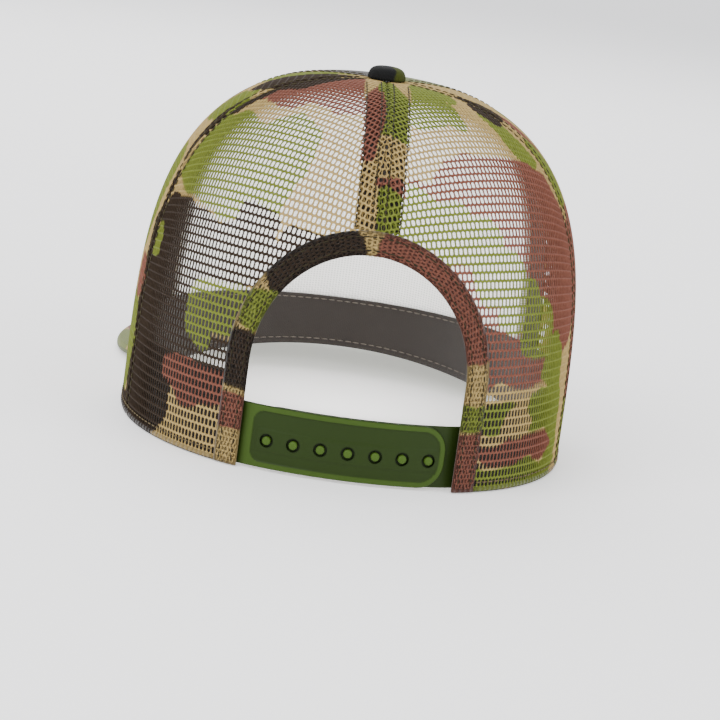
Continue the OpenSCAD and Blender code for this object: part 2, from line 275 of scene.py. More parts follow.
SEAM_PRINT = [
    (GREEN, -6, 0.86, 9, 0.13, 0), (RED, 7, 0.84, 7, 0.12, 0), (GREEN, 4, 0.965, 6, 0.03, 0),
    (RED, -3, 0.665, 4, 0.018, 0), (GREEN, -3.6, 0.58, 3.4, 0.075, 0), (TAN, -3, 0.73, 5, 0.045, 0),
    (GREEN, 0, 0.97, 12, 0.03, 0),
]
BINDING_PRINT = [
    (DARK, 11, 0.46, 11, 0.115, 0), (GREEN, 21, 0.36, 5, 0.035, 0), (DARK, 24, 0.26, 7, 0.065, 0),
    (RED, 26, 0.13, 7, 0.050, 0), (RED, -12, 0.50, 11, 0.09, 0), (RED, -22, 0.40, 9, 0.10, 0),
    (GREEN, -26, 0.19, 6, 0.030, 0), (RED, -26, 0.07, 7, 0.085, 0),
]


def lattice_noise(x, y, seed):
    table = np.random.RandomState(seed).rand(64, 64)
    ix, iy = np.floor(x).astype(int), np.floor(y).astype(int)
    fx, fy = smooth(x - ix), smooth(y - iy)
    near = table[ix % 64, iy % 64] * (1 - fx) + table[(ix + 1) % 64, iy % 64] * fx
    far = table[ix % 64, (iy + 1) % 64] * (1 - fx) + table[(ix + 1) % 64, (iy + 1) % 64] * fx
    return near * (1 - fy) + far * fy


def patches(a, t, print_list, seed):
    """Index of the print's colour at each place, from patches with ragged edges."""
    wide, fine = 6.5, 2.2

    def drift(cell, own_seed, swing):
        return (lattice_noise(a / cell, t * 100 / cell, own_seed) - 0.5) * swing

    warp_a = drift(wide, seed, 4.5) + drift(fine, seed + 1, 0.7)
    warp_t = drift(wide, seed + 2, 0.035) + drift(fine, seed + 3, 0.006)
    index = np.full(a.shape, TAN)
    for tint, middle_a, middle_t, half_a, half_t, turn in print_list:
        u, v = (a + warp_a - middle_a) * 1.4, (t + warp_t - middle_t) * 160
        c, s = math.cos(math.radians(turn)), math.sin(math.radians(turn))
        u, v = (u * c + v * s) / (half_a * 1.4), (v * c - u * s) / (half_t * 160)
        index[(np.abs(u) ** 2.6 + np.abs(v) ** 2.6) < 1] = tint
    return index


def tinted(index, seed, spread=0.07):
    """Print colours with a slight change from place to place, as an RGBA array."""
    c = colours()
    palette = np.array([c.tan, c.green, c.red_brown, c.dark])
    shade = 1 + (np.random.RandomState(seed).rand(*index.shape) - 0.5) * 2 * spread
    rgb = palette[index] * shade[..., None]
    return np.concatenate([rgb, np.ones(index.shape + (1,))], -1)


# Mesh helpers

def new_piece(name, points, faces, material, body="cap"):
    mesh = bpy.data.meshes.new(name)
    mesh.from_pydata(np.asarray(points).reshape(-1, 3).tolist(), [], [list(f) for f in faces])
    mesh.validate()
    piece = bpy.data.objects.new(name, mesh)
    bpy.context.scene.collection.objects.link(piece)
    mesh.polygons.foreach_set("use_smooth", [True] * len(mesh.polygons))
    mesh.materials.append(material)
    if body:
        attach(piece, body)
    return piece


def dimmed(tints, share):
    return tints * (share, share, share, 1)


def set_print(piece, rgba):
    layer = piece.data.color_attributes.new("print", "FLOAT_COLOR", "POINT")
    layer.data.foreach_set("color", np.asarray(rgba, np.float32).ravel())


def only(piece):
    """Makes piece the one selected and active object."""
    bpy.ops.object.select_all(action="DESELECT")
    piece.select_set(True)
    bpy.context.view_layer.objects.active = piece


def added(operator, name=None, **given):
    """The object that an add operator makes, alone selected."""
    bpy.ops.object.select_all(action="DESELECT")
    operator(**given)
    piece = bpy.context.object
    if name:
        piece.name = piece.data.name = name
    return piece


def edited(piece, operator, **given):
    """Runs an edit-mode operator on the whole of a piece."""
    only(piece)
    bpy.ops.object.mode_set(mode="EDIT")
    bpy.ops.mesh.select_all(action="SELECT")
    operator(**given)
    bpy.ops.object.mode_set(mode="OBJECT")


def outwards(piece):
    """Turns a closed piece's faces outwards."""
    edited(piece, bpy.ops.mesh.normals_make_consistent, inside=False)


def piece_points(piece):
    co = np.empty(len(piece.data.vertices) * 3)
    piece.data.vertices.foreach_get("co", co)
    return co.reshape(-1, 3)


def move_points(piece, points):
    piece.data.vertices.foreach_set("co", points.ravel())
    piece.data.update()


def strip_faces(rows, cols, loop=False):
    """Quads over a grid of points, counter-clockwise where columns run right and rows run up."""
    across = cols if loop else cols - 1
    r, c = np.meshgrid(np.arange(rows - 1), np.arange(across), indexing="ij")
    nxt = (c + 1) % cols
    quads = np.stack([r * cols + c, r * cols + nxt, (r + 1) * cols + nxt, (r + 1) * cols + c], -1)
    return quads.reshape(-1, 4)


def swept(sections):
    """Points and faces of a closed skin through loops of points, shaped [along, around, 3]."""
    along, around = sections.shape[:2]
    faces = strip_faces(along, around, loop=True).tolist()
    faces.append(list(range(around))[::-1])
    faces.append([(along - 1) * around + k for k in range(around)])
    return sections.reshape(-1, 3), faces


def sheet_shell(name, outer, inner, material, body="cap"):
    """Closed shell between two equal grids of points shaped [row, column, 3]."""
    rows, cols = outer.shape[:2]
    count = rows * cols
    quads = strip_faces(rows, cols)
    faces = quads[:, ::-1].tolist() + (quads + count).tolist()
    edge = ([(0, c) for c in range(cols)] + [(r, cols - 1) for r in range(1, rows)]
            + [(rows - 1, c) for c in range(cols - 2, -1, -1)] + [(r, 0) for r in range(rows - 2, 0, -1)])
    ring = [r * cols + c for r, c in edge]
    for one, two in zip(ring, ring[1:] + ring[:1]):
        faces.append([one, two, two + count, one + count])
    return new_piece(name, np.concatenate([outer.reshape(-1, 3), inner.reshape(-1, 3)]), faces, material,
                     body)


# Materials

def link(tree, source, target):
    tree.links.new(source, target)


def node(tree, kind, settings=None, **given):
    """Adds a node; given holds its inputs, each a value or a socket, with _ for a space."""
    made = tree.nodes.new("ShaderNode" + kind)
    for key, value in (settings or {}).items():
        setattr(made, key, value)
    for key, value in given.items():
        socket = made.inputs[key.replace("_", " ")]
        if isinstance(value, bpy.types.NodeSocket):
            link(tree, value, socket)
        else:
            socket.default_value = value
    return made


def math_node(tree, operation, *values):
    made = node(tree, "Math", {"operation": operation})
    for socket, value in zip(made.inputs, values):
        if isinstance(value, (int, float)):
            socket.default_value = value
        else:
            link(tree, value, socket)
    return made.outputs[0]


def node_group(name, inputs, outputs):
    """A new group, its inputs to read from and its outputs to link to."""
    group = bpy.data.node_groups.new(name, "ShaderNodeTree")
    for socket, kind, default in [("Vector", "Vector", (0, 0, 0))] + inputs:
        made = group.interface.new_socket(name=socket, in_out="INPUT", socket_type="NodeSocket" + kind)
        made.default_value = default
    for socket, kind in outputs:
        group.interface.new_socket(name=socket, in_out="OUTPUT", socket_type="NodeSocket" + kind)
    return group, group.nodes.new("NodeGroupInput").outputs, group.nodes.new("NodeGroupOutput").inputs


def weave_group():
    """Threads of a plain weave or a twill: their height, and a mask of the gaps between them."""
    group, given, out = node_group("Woven threads",
                                   [("Threads per metre", "Float", 1500.0), ("Twill", "Float", 0.0)],
                                   [("Height", "Float"), ("Gaps", "Float")])

    def do(operation, *values):
        return math_node(group, operation, *values)

    x, y, _ = node(group, "SeparateXYZ", Vector=given["Vector"]).outputs
    turn = do("MULTIPLY", given["Threads per metre"], math.pi)
    one = do("SINE", do("MULTIPLY", do("ADD", x, do("MULTIPLY", y, given["Twill"])), turn))
    two = do("SINE", do("MULTIPLY", y, turn))
    plain = do("MULTIPLY", do("MULTIPLY", one, two), do("SUBTRACT", 1.0, given["Twill"]))
    rib = do("MULTIPLY", do("ABSOLUTE", one), given["Twill"])
    link(group, do("MULTIPLY", do("ADD", plain, rib), 0.5), out["Height"])
    crest = do("MAXIMUM", do("ABSOLUTE", one), do("ABSOLUTE", two))
    link(group, do("SUBTRACT", 1.0, crest), out["Gaps"])
    return group


def camouflage_group():
    """Four-colour print of rounded patches laid over each other."""
    names = ("Ground", "Leaf", "Earth", "Shadow")
    group, given, out = node_group("Camouflage print",
                                   [(name, "Color", (0.5, 0.5, 0.5, 1)) for name in names],
                                   [("Color", "Color")])
    colour_so_far = given["Ground"]
    for name, scale, offset, least in (("Leaf", 26.0, 0.0, 0.53), ("Earth", 30.0, 3.7, 0.56),
                                       ("Shadow", 34.0, 8.1, 0.60)):
        place = node(group, "VectorMath", {"operation": "MULTIPLY_ADD"}, Vector=given["Vector"])
        place.inputs[1].default_value = (0.62, 0.62, 1.0)
        place.inputs[2].default_value = (offset, offset * 0.7, offset * 1.3)
        noise = node(group, "TexNoise", Vector=place.outputs[0], Scale=scale, Detail=1.6, Distortion=0.7)
        edge = node(group, "MapRange", Value=noise.outputs["Fac"], From_Min=least - 0.004,
                    From_Max=least + 0.004)
        mix = node(group, "Mix", {"data_type": "RGBA"}, Factor=edge.outputs["Result"], A=colour_so_far,
                   B=given[name])
        colour_so_far = mix.outputs["Result"]
    link(group, colour_so_far, out["Color"])
    return group


def mottle_group():
    """Colour that drifts a little darker and lighter over the surface, with fine lint on it."""
    group, given, out = node_group(
        "Mottled",
        [("Color", "Color", (0.5, 0.5, 0.5, 1)), ("Scale", "Float", 60.0), ("Amount", "Float", 0.15)],
        [("Color", "Color"), ("Value", "Float")])
    noise = node(group, "TexNoise", Vector=given["Vector"], Scale=given["Scale"], Detail=5, Roughness=0.65)
    centred = math_node(group, "SUBTRACT", noise.outputs["Fac"], 0.5)
    swing = math_node(group, "MULTIPLY", centred, given["Amount"])
    gain = math_node(group, "MULTIPLY_ADD", swing, 2.0, 1.0)
    scaled = node(group, "VectorMath", {"operation": "SCALE"}, Vector=given["Color"], Scale=gain)
    link(group, scaled.outputs[0], out["Color"])
    link(group, noise.outputs["Fac"], out["Value"])
    return group


GROUP_MAKERS = {"weave": weave_group, "mottle": mottle_group, "camouflage": camouflage_group}
GROUPS = {}


def group_node(tree, key, **given):
    if key not in GROUPS:
        GROUPS[key] = GROUP_MAKERS[key]()
    return node(tree, "Group", {"node_tree": GROUPS[key]}, **given)


def made_once(maker):
    """Gives the material of that name if there is one, and makes it if not."""
    def get(name, *values, **named):
        return bpy.data.materials.get(name) or maker(name, *values, **named)
    return get


def base_material(name, roughness, sheen=0.0, specular=0.5):
    material = bpy.data.materials.new(name)
    material.use_nodes = True
    tree = material.node_tree
    shader = tree.nodes["Principled BSDF"]
    shader.inputs["Roughness"].default_value = roughness
    shader.inputs["Sheen Weight"].default_value = sheen
    shader.inputs["Sheen Roughness"].default_value = 0.5
    shader.inputs["Specular IOR Level"].default_value = specular
    return material, tree, shader, node(tree, "TexCoord").outputs


def bump(tree, shader, height, distance, strength=1.0):
    made = node(tree, "Bump", Height=height, Distance=distance, Strength=strength)
    link(tree, made.outputs["Normal"], shader.inputs["Normal"])


def mottled(tree, place, tint, scale, amount):
    """Mottled colour: tint is a colour, "print" for the piece's own colours or "camouflage"."""
    drift = group_node(tree, "mottle", Vector=place["Object"], Scale=scale, Amount=amount)
    if tint == "print":
        printed = node(tree, "Attribute", {"attribute_name": "print"})
        link(tree, printed.outputs["Color"], drift.inputs["Color"])
    elif tint == "camouflage":
        c = colours()
        printed = group_node(tree, "camouflage", Vector=place["Object"], Ground=(*c.tan, 1),
                             Leaf=(*c.green, 1),
                             Earth=(*c.red_brown, 1), Shadow=(*c.dark, 1))
        link(tree, printed.outputs["Color"], drift.inputs["Color"])
    else:
        drift.inputs["Color"].default_value = (*tint, 1)
    return drift.outputs


@made_once
def cloth_material(name, tint, threads=1500.0, depth=0.15 * MM, twill=0.0, mottle=0.12, roughness=0.86,
                   sheen=0.25, follow="UV"):
    """Woven cloth, with its threads counted per metre."""
    material, tree, shader, place = base_material(name, roughness, sheen, 0.12)
    weave = group_node(tree, "weave", Vector=place[follow], Threads_per_metre=threads, Twill=twill)
    colour_mottled = mottled(tree, place, tint, 90.0, mottle)["Color"]
    # Painted shade: the colour is darkened to 0.45 of itself in the gaps between the threads.
    shaded = node(tree, "Mix", {"data_type": "RGBA", "blend_type": "MULTIPLY"},
                  Factor=weave.outputs["Gaps"],
                  A=colour_mottled, B=(0.45, 0.45, 0.45, 1))
    link(tree, shaded.outputs["Result"], shader.inputs["Base Color"])
    bump(tree, shader, weave.outputs["Height"], depth)
    return material


def printed_cloth():
    """Cloth of the front panel and the visor's top."""
    return cloth_material("Printed cloth", "camouflage", 1700.0, 0.12 * MM)


@made_once
def yarn_material(name, tint="print", roughness=0.8):
    """Twisted yarn, as in the net and the sewing threads."""
    material, tree, shader, place = base_material(name, roughness, 0.04, 0.14)
    drift = mottled(tree, place, tint, 900.0, 0.45)
    link(tree, drift["Color"], shader.inputs["Base Color"])
    bump(tree, shader, drift["Value"], 0.12 * MM)
    return material


@made_once
def plastic_material(name, tint, roughness=0.42):
    """Satin moulded plastic with a fine grain, faint flow marks and rubbed patches."""
    material, tree, shader, place = base_material(name, roughness, 0.0, 0.13)
    drift = mottled(tree, place, tint, 45.0, 0.10)
    link(tree, drift["Color"], shader.inputs["Base Color"])
    rub = node(tree, "MapRange", Value=drift["Value"], To_Min=roughness - 0.07, To_Max=roughness + 0.16)
    link(tree, rub.outputs["Result"], shader.inputs["Roughness"])
    grain = node(tree, "TexNoise", Vector=place["Object"], Scale=1400.0)
    bump(tree, shader, grain.outputs["Fac"], 0.02 * MM, 0.6)
    return material


@made_once
def metal_material(name, tint, roughness=0.35):
    """Pressed metal with faint handling marks."""
    material, tree, shader, place = base_material(name, roughness, 0.0, 0.5)
    shader.inputs["Metallic"].default_value = 1.0
    drift = mottled(tree, place, tint, 400.0, 0.1)
    link(tree, drift["Color"], shader.inputs["Base Color"])
    bump(tree, shader, drift["Value"], 0.03 * MM)
    return material


# Sheets laid over a surface

def laid_sheet(name, place, across, along, cut, thick, material, flip=True, round_edge=0.0):
    """Grid laid by place(u, v) over a surface, given a wall inwards; cut is its flat size in metres."""
    piece = added(bpy.ops.mesh.primitive_grid_add, name, x_subdivisions=across, y_subdivisions=along,
                  size=2)
    points = piece_points(piece)
    move_points(piece, place(points[:, 0] / 2 + 0.5, points[:, 1] / 2 + 0.5))
    stretch_uv(piece.data, cut)
    if flip:
        edited(piece, bpy.ops.mesh.flip_normals)
    wall = piece.modifiers.new("Wall", "SOLIDIFY")
    wall.thickness, wall.offset = thick, -1
    bpy.ops.object.modifier_apply(modifier=wall.name)
    if round_edge:
        rounding = piece.modifiers.new("Rounding", "BEVEL")
        rounding.width, rounding.segments, rounding.angle_limit = round_edge, 3, math.radians(60)
        bpy.ops.object.modifier_apply(modifier=rounding.name)
    bpy.ops.object.shade_smooth_by_angle(angle=math.radians(50))
    piece.data.materials.append(material)
    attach(piece, "cap")
    return piece


def stretch_uv(mesh, cut):
    """Scales a unit UV map to metres on the flat cloth."""
    layer = mesh.uv_layers.active.data
    uv = np.empty(len(layer) * 2)
    layer.foreach_get("uv", uv)
    layer.foreach_set("uv", (uv.reshape(-1, 2) * np.array(cut)).ravel())


def azimuth_of(points):
    return np.degrees(np.arctan2(points[:, 0], points[:, 1]))


def position_of(points):
    return t_at_height(points[:, 2])


# Net

def hex_net(half_width, low, high, pitch, row, bar, yarn):
    """Flat net of long six-sided holes, as (points, cells): points hold p, q and a depth that is
    0 on the yarn's crest, 0.5 at a hole's edge and 1 at the back; a cell has 12 crest points, its
    12 points on the hole and 12 at the back."""
    lift = row * 0.1
    cols = 2 * int(round(half_width / pitch)) * 2 + 1
    rows = int(math.ceil((high - low) / row)) + 1
    k = np.arange(cols)
    x = (k - (cols - 1) / 2) * pitch / 2
    level = low + (np.arange(rows + 1) - 0.5) * row
    up = np.where((k[None] + np.arange(rows + 1)[:, None]) % 2 == 0, lift, -lift)
    corner = np.stack([np.broadcast_to(x, up.shape), level[:, None] + up], -1)
    middle = (corner[:, 1:] + corner[:, :-1]) / 2
    side = np.stack(np.broadcast_arrays(x[None], (level[:-1] + row / 2)[:, None]), -1)
    crest = np.concatenate([corner.reshape(-1, 2), middle.reshape(-1, 2), side.reshape(-1, 2)])
    at_middle, at_side = corner.shape[0] * cols, corner.shape[0] * cols + middle.shape[0] * (cols - 1)
    j, c = np.meshgrid(np.arange(rows), np.arange(1, cols - 1), indexing="ij")
    own = (c + j) % 2 == 1
    j, c = j[own], c[own]

    def v(b, k):
        return b * cols + k

    def m(b, k):
        return at_middle + b * (cols - 1) + k

    def h(k):
        return at_side + j * cols + k

    ring = np.stack([h(c + 1), v(j + 1, c + 1), m(j + 1, c), v(j + 1, c), m(j + 1, c - 1), v(j + 1, c - 1),
                     h(c - 1), v(j, c - 1), m(j, c - 1), v(j, c), m(j, c), v(j, c + 1)], -1)
    half = (pitch - bar) / 2
    top = row / 2 + lift - yarn * 0.56
    shoulder_height = row / 2 - lift - yarn * 0.34
    quarter = np.array([(1, 0), (0.97, shoulder_height / top), (0.60, 0.88), (0, 1)])
    shape = np.concatenate([quarter, quarter[2:0:-1] * (-1, 1), quarter[:1] * -1, quarter[1:3] * -1,
                            quarter[3:] * (1, -1), quarter[2:0:-1] * (1, -1)]) * (half, top)
    centre = np.stack([x[c], level[j] + row / 2], -1)
    hole = (centre[:, None] + shape[None]).reshape(-1, 2)
    n, cells = len(crest), len(j)
    points = np.concatenate([np.column_stack([crest, np.zeros(n)]), np.column_stack([crest, np.ones(n)]),
                             np.column_stack([hole, np.full(len(hole), 0.5)])])
    edge = 2 * n + np.arange(cells * 12).reshape(-1, 12)
    return points, ring, edge, ring + n, centre


def net_faces(crest, edge, back):
    """Points that cells of the net use, and the quads round their holes and along the net's border."""
    nxt = np.roll(np.arange(12), -1)
    pairs = np.stack([crest, crest[:, nxt], back[:, nxt], back], -1).reshape(-1, 4)
    _, first, count = np.unique(np.sort(pairs[:, :2], 1), axis=0, return_index=True, return_counts=True)
    faces = np.concatenate([np.stack([crest, edge, edge[:, nxt], crest[:, nxt]], -1).reshape(-1, 4),
                            np.stack([back, back[:, nxt], edge[:, nxt], edge], -1).reshape(-1, 4),
                            pairs[first[count == 1]]])
    used, faces = np.unique(faces, return_inverse=True)
    return used, faces.reshape(-1, 4)


def net_piece(name, net, place, keep, outer, inner, print_at, material, body="cap"):
    """Net bent over the crown: place turns flat p, q into azimuth and position, keep picks cells by
    the azimuth and position of their middles, print_at gives the colours."""
    points, crest, edge, back, centre = net
    kept = keep(*place(centre[:, 0], centre[:, 1]))
    used, faces = net_faces(crest[kept], edge[kept], back[kept])
    points = points[used]
    a, t = place(points[:, 0], points[:, 1])
    where = crown_point(a, t, outer(a, t) + (inner - outer(a, t)) * points[:, 2])
    one, two = where[faces[:, 2]] - where[faces[:, 0]], where[faces[:, 3]] - where[faces[:, 1]]
    faces = faces[np.linalg.norm(np.cross(one, two), axis=1) > 1e-11]
    piece = new_piece(name, where, faces, material, body)
    set_print(piece, tinted(print_at(a, t), 7))
    return piece


def meridian(a):
    """Lengths along one meridian and the positions there."""
    t = np.linspace(0, 1, 600)
    line = crown_point(a, t)
    run = lengths_along(line)
    return run, t


def panel_place(from_a, to_a, margin):
    """Turns flat places on a panel into azimuth and position, held between its seams."""
    middle = (from_a + to_a) / 2
    run, steps = meridian(middle)
    radius = reach(middle, steps)
    slope = np.gradient(radius, run)

    def place(p, q):
        r0 = np.interp(q, run, radius)
        drop = np.clip(p * p * np.interp(q, run, slope) / (2 * np.maximum(r0, 3 * MM)), -14 * MM, 0)
        q = np.clip(q + drop, 0, run[-1])
        t = np.interp(q, run, steps)
        r = np.maximum(np.interp(q, run, radius), 1 * MM)
        a = middle + np.degrees(p / r)
        edge = np.degrees(margin / r)
        return np.clip(a, from_a + edge, to_a - edge), np.minimum(t, t_at_radius(a, BUTTON_CLEAR))
    return place, run[-1]


def seam_dip(a):
    """How far the cloth is drawn in along the crown's seams."""
    def depth(azimuth, t):
        r = girth(azimuth, t)
        near = np.full(np.shape(azimuth), 1.0)
        for seam in a:
            near = np.minimum(near, np.radians(np.abs(azimuth - seam)) * r)
        return -0.45 * MM * (1 - smooth(near / (1.5 * MM)))
    return depth


def net_sizes():
    s = sizes()
    return s.net_pitch, s.net_row, s.net_bar, s.net_yarn


NET_THICK = 0.75 * MM
DOUBLE_HALF_WIDTH = 8.5 * MM
SIDE_DOUBLE_HALF_WIDTH = 7 * MM
TAPE_END_RADIUS = 9.5 * MM
TAPE_HALF_WIDTH = 6 * MM
TOPSTITCH_OFFSET = 2.6 * MM
TOPSTITCH_END = 9 * MM


def seam_distance(a, t, seam):
    return np.radians(np.abs(wrapped(a - seam))) * girth(a, t)


def crown_print(a, t):
    """Print of the net, by patch lists at the rear and sides; the doubled seams have their own."""
    a = wrapped(a)
    index = np.where(a > 0, patches(a, t, REAR_LEFT_PRINT, 11), patches(a, t, REAR_RIGHT_PRINT, 23))
    beside = np.abs(a) > SIDE_SEAM
    sides = np.where(a > 0, patches(a, t, SIDE_LEFT_PRINT, 31), patches(a, t, SIDE_RIGHT_PRINT, 43))
    index = np.where(beside, sides, index)
    middle = seam_distance(a, t, 0) < DOUBLE_HALF_WIDTH
    return np.where(middle, patches(a, t, SEAM_PRINT, 53), index)


def net_panel(name, from_a, to_a):
    pitch, row, bar, yarn = net_sizes()
    place, run = panel_place(from_a, to_a, 0.12 * MM)
    rear = abs(from_a + to_a) < 2 * SIDE_SEAM
    half = max(plan_radius((from_a + to_a) / 2), plan_radius(from_a),
               plan_radius(to_a)) * math.radians(to_a - from_a) / 2
    net = hex_net(half + 2 * pitch, 0.0, run, pitch, row, bar, yarn)

    def keep(a, t):
        edge = np.degrees(0.35 * pitch / girth(a, t))
        kept = (a > from_a + edge) & (a < to_a - edge) & (t < t_at_radius(a, BUTTON_CLEAR) - 0.002)
        here = crown_point(a, t)
        if rear:
            kept &= (past_opening(here[:, 0], here[:, 2]) > 2 * MM)
        return kept & (here[:, 2] > hem_height(a) - 0.2 * MM)

    def held(p, q):
        a, t = place(p, q)
        return a, np.maximum(t, t_at_height(hem_height(a)))

    dip = seam_dip((from_a, to_a))
    return net_piece(name, net, held, keep, dip, -NET_THICK, crown_print, yarn_material("Camouflage net"))


def seam_net(name, seam, half_width, low, high_radius, print_at):
    """Second layer of net where the panels are folded in beside a seam."""
    pitch, row, bar, yarn = net_sizes()
    run, steps = meridian(seam)
    start = np.interp(t_at_height(low), steps, run)
    stop = np.interp(t_at_radius(seam, high_radius), steps, run)
    net = hex_net(half_width + pitch, start, stop, pitch, row, bar, yarn)

    def place(p, q):
        t = np.interp(np.clip(q + row / 2, start, stop), run, steps)
        p = np.clip(p + pitch / 4, -half_width, half_width)
        return seam + np.degrees(p / girth(seam, t)), t

    def keep(a, t):
        return seam_distance(a, t, seam) < half_width - 0.3 * pitch

    return net_piece(name, net, place, keep, lambda a, t: -0.95 * MM, -1.35 * MM, print_at,
                     yarn_material("Camouflage net"))


def seam_tape(name, seam, half_width, low, node, deep=1.42 * MM):
    t_low, t_high = t_at_height(low), t_at_radius(seam, TAPE_END_RADIUS)

    def place(u, v):
        t = t_low + (t_high - t_low) * v
        a = seam + np.degrees((u * 2 - 1) * half_width / girth(seam, t))
        return crown_point(a, t, -deep)

    run, steps = meridian(seam)
    long = np.interp(t_high, steps, run) - np.interp(t_low, steps, run)
    tape = laid_sheet(name, place, 8, 90, (2 * half_width, long), 0.3 * MM,
                      cloth_material("Seam tape", (0.032, 0.026, 0.022), 1400.0, 0.2 * MM, 1.0))
    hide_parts(node)
    return tape


# Stitching

def stitch_shape():
    """One sewn thread loop, a unit long along X, that dives at both ends."""
    piece = added(bpy.ops.mesh.primitive_cylinder_add, vertices=6, radius=0.5, depth=1,
                  end_fill_type="TRIFAN", rotation=(0, math.pi / 2, 0))
    bpy.ops.object.transform_apply(location=False, rotation=True, scale=False)
    bpy.ops.object.mode_set(mode="EDIT")
    bpy.ops.mesh.select_all(action="DESELECT")
    bpy.ops.object.mode_set(mode="OBJECT")
    for edge in piece.data.edges:
        one, two = (piece.data.vertices[i].co for i in edge.vertices)
        edge.select = abs(one.x - two.x) > 0.9
    bpy.ops.object.mode_set(mode="EDIT")
    bpy.ops.mesh.select_mode(type="EDGE")
    bpy.ops.mesh.subdivide(number_cuts=3, ngon=True)
    bpy.ops.object.mode_set(mode="OBJECT")
    points = piece_points(piece)
    arch = np.sqrt(np.maximum(1 - (2 * points[:, 0]) ** 2 * 0.86, 0))
    points[:, 1:] *= arch[:, None]
    faces = [tuple(f.vertices) for f in piece.data.polygons]
    bpy.data.objects.remove(piece)
    return points, faces


STITCH = []
THREADS = {"olive": (0.055, 0.045, 0.020), "brown": (0.026, 0.021, 0.010), "grey": (0.10, 0.085, 0.07),
           "tan": (0.12, 0.09, 0.045), "sand": (0.26, 0.20, 0.10)}


def stitch_row(name, line, outward, thread, pitch=2.9 * MM, long=2.2 * MM, wide=0.55 * MM, body="cap"):
    """Row of stitches along a line of points, with the direction out of the cloth at each."""
    if not STITCH:
        STITCH.extend(stitch_shape())
    shape, faces = STITCH
    line, outward = np.asarray(line), np.asarray(outward)
    run = lengths_along(line)
    centres = np.arange(pitch / 2, run[-1] - pitch / 2, pitch)

    def at(s, values):
        return np.stack([np.interp(s, run, values[:, k]) for k in range(3)], -1)

    along = at(centres + long / 2, line) - at(centres - long / 2, line)
    along /= np.linalg.norm(along, axis=1, keepdims=True)
    out = at(centres, outward)
    side = np.cross(out, along)
    side /= np.linalg.norm(side, axis=1, keepdims=True)
    out = np.cross(along, side)
    where = at(centres, line)
    points = (where[:, None] + along[:, None] * shape[None, :, :1] * long
              + side[:, None] * shape[None, :, 1:2] * wide + out[:, None] * shape[None, :, 2:] * wide * 0.8)
    all_faces = [tuple(i + k * len(shape) for i in face) for k in range(len(centres)) for face in faces]
    piece = new_piece(name, points, all_faces, yarn_material("Thread " + thread, THREADS[thread]), body)
    outwards(piece)
    return piece


def seam_stitches(name, seam, offset, low, high_radius, thread, depth=0.12 * MM):
    t = np.linspace(t_at_height(low), t_at_radius(seam, high_radius), 120)
    a = seam + np.degrees(offset / girth(seam, t))
    return stitch_row(name, crown_point(a, t, depth), crown_normal(a, t), thread)


# Rear opening

def opening_line(share, g):
    """Places x and z along the opening's outline grown by g, from the left leg's foot to the right's."""
    s = sizes()
    arch = math.pi * (s.opening_half_width + s.opening_rise) / 2
    whole = arch + 2 * s.opening_spring
    run = np.asarray(share) * whole
    up_left = run < s.opening_spring
    down_right = run > whole - s.opening_spring
    turn = np.clip((run - s.opening_spring) / arch, 0, 1) * math.pi
    x = (s.opening_half_width + g) * np.cos(turn)
    z = s.opening_spring + (s.opening_rise + g) * np.sin(turn)
    z = np.where(up_left, run, np.where(down_right, whole - run, z))
    return x, z, whole


def opening_point(share, g, d):
    x, z, _ = opening_line(share, g)
    t = t_at_height(z, d)
    return crown_point(azimuth_at(x, t, d), t, d)


def opening_out(share, g):
    x, z, _ = opening_line(share, g)
    t = t_at_height(z)
    return crown_normal(azimuth_at(x, t), t)


def binding_print(points):
    a, t = azimuth_of(points), position_of(points)
    return patches(a, t, BINDING_PRINT, 61)


# Straps

STRAP_CENTRE = 1.4798 * MM
STRAP_RADIUS = 91.9202 * MM
STRAP_FLOOR = 0.6 * MM
HOLE_INNER = 91.2202 * MM
PEG_OUTER = 91.0702 * MM
HOLE_LEVEL = -2.65 * MM
PEG_LEVEL = -4.05 * MM
HOLE_WALL = 1.4 * MM
PEG_WALL = 1.1 * MM
PEG_LINE = 9.8 * MM
PEG_COUNT = 7
PEG_RADIUS = 1.5 * MM
HOLE_RADIUS = 2.4 * MM
TIP_REACH = 6 * MM
TIP_RADIUS = 9 * MM
BORDER = 2.1 * MM
FLEX_ANGLE = 22.385
TAB_END = 28.35


def peg_span():
    return (PEG_COUNT - 1) / 2 * sizes().peg_pitch


def rounded_box(x, y, x0, x1, y0, y1, r0, r1):
    """Distance outside a box whose corners have radius r0 at its x0 end and r1 at its x1 end."""
    r = np.where(x < (x0 + x1) / 2, r0, r1)
    u = np.abs(x - (x0 + x1) / 2) - (x1 - x0) / 2 + r
    v = np.abs(y - (y0 + y1) / 2) - (y1 - y0) / 2 + r
    return np.minimum(np.maximum(u, v), 0) + np.hypot(np.maximum(u, 0), np.maximum(v, 0)) - r


def strap_plan(side, level, wall_inner):
    """Plan points of a strap's inner face from its sewn end to its tip, and the direction outwards.
    side is 1 for the strap sewn at the wearer's left and -1 for the other."""
    tab = np.linspace(TAB_END, 22.8, 9)
    half_wall = (HOLE_WALL if side > 0 else PEG_WALL) / 2
    r = plan_radius(tab) + level - half_wall
    tab_in = np.stack(plan_point(tab, r), -1)
    tab_out = np.stack(plan_point(tab, 1), -1)
    tip = math.degrees((peg_span() + TIP_REACH) / STRAP_RADIUS)
    turn = np.radians(np.linspace(-FLEX_ANGLE + 0.6, tip, 118))
    arc_in = np.stack([-wall_inner * np.sin(turn), STRAP_CENTRE + wall_inner * np.cos(turn)], -1)
    arc_out = np.stack([-np.sin(turn), np.cos(turn)], -1)
    points, out = np.concatenate([tab_in, arc_in]), np.concatenate([tab_out, arc_out])
    points[:, 0] *= side
    out[:, 0] *= side
    run = lengths_along(points)
    zero = np.interp(0.0, turn, run[len(tab):])
    return points, out, (run - zero) * STRAP_RADIUS / wall_inner


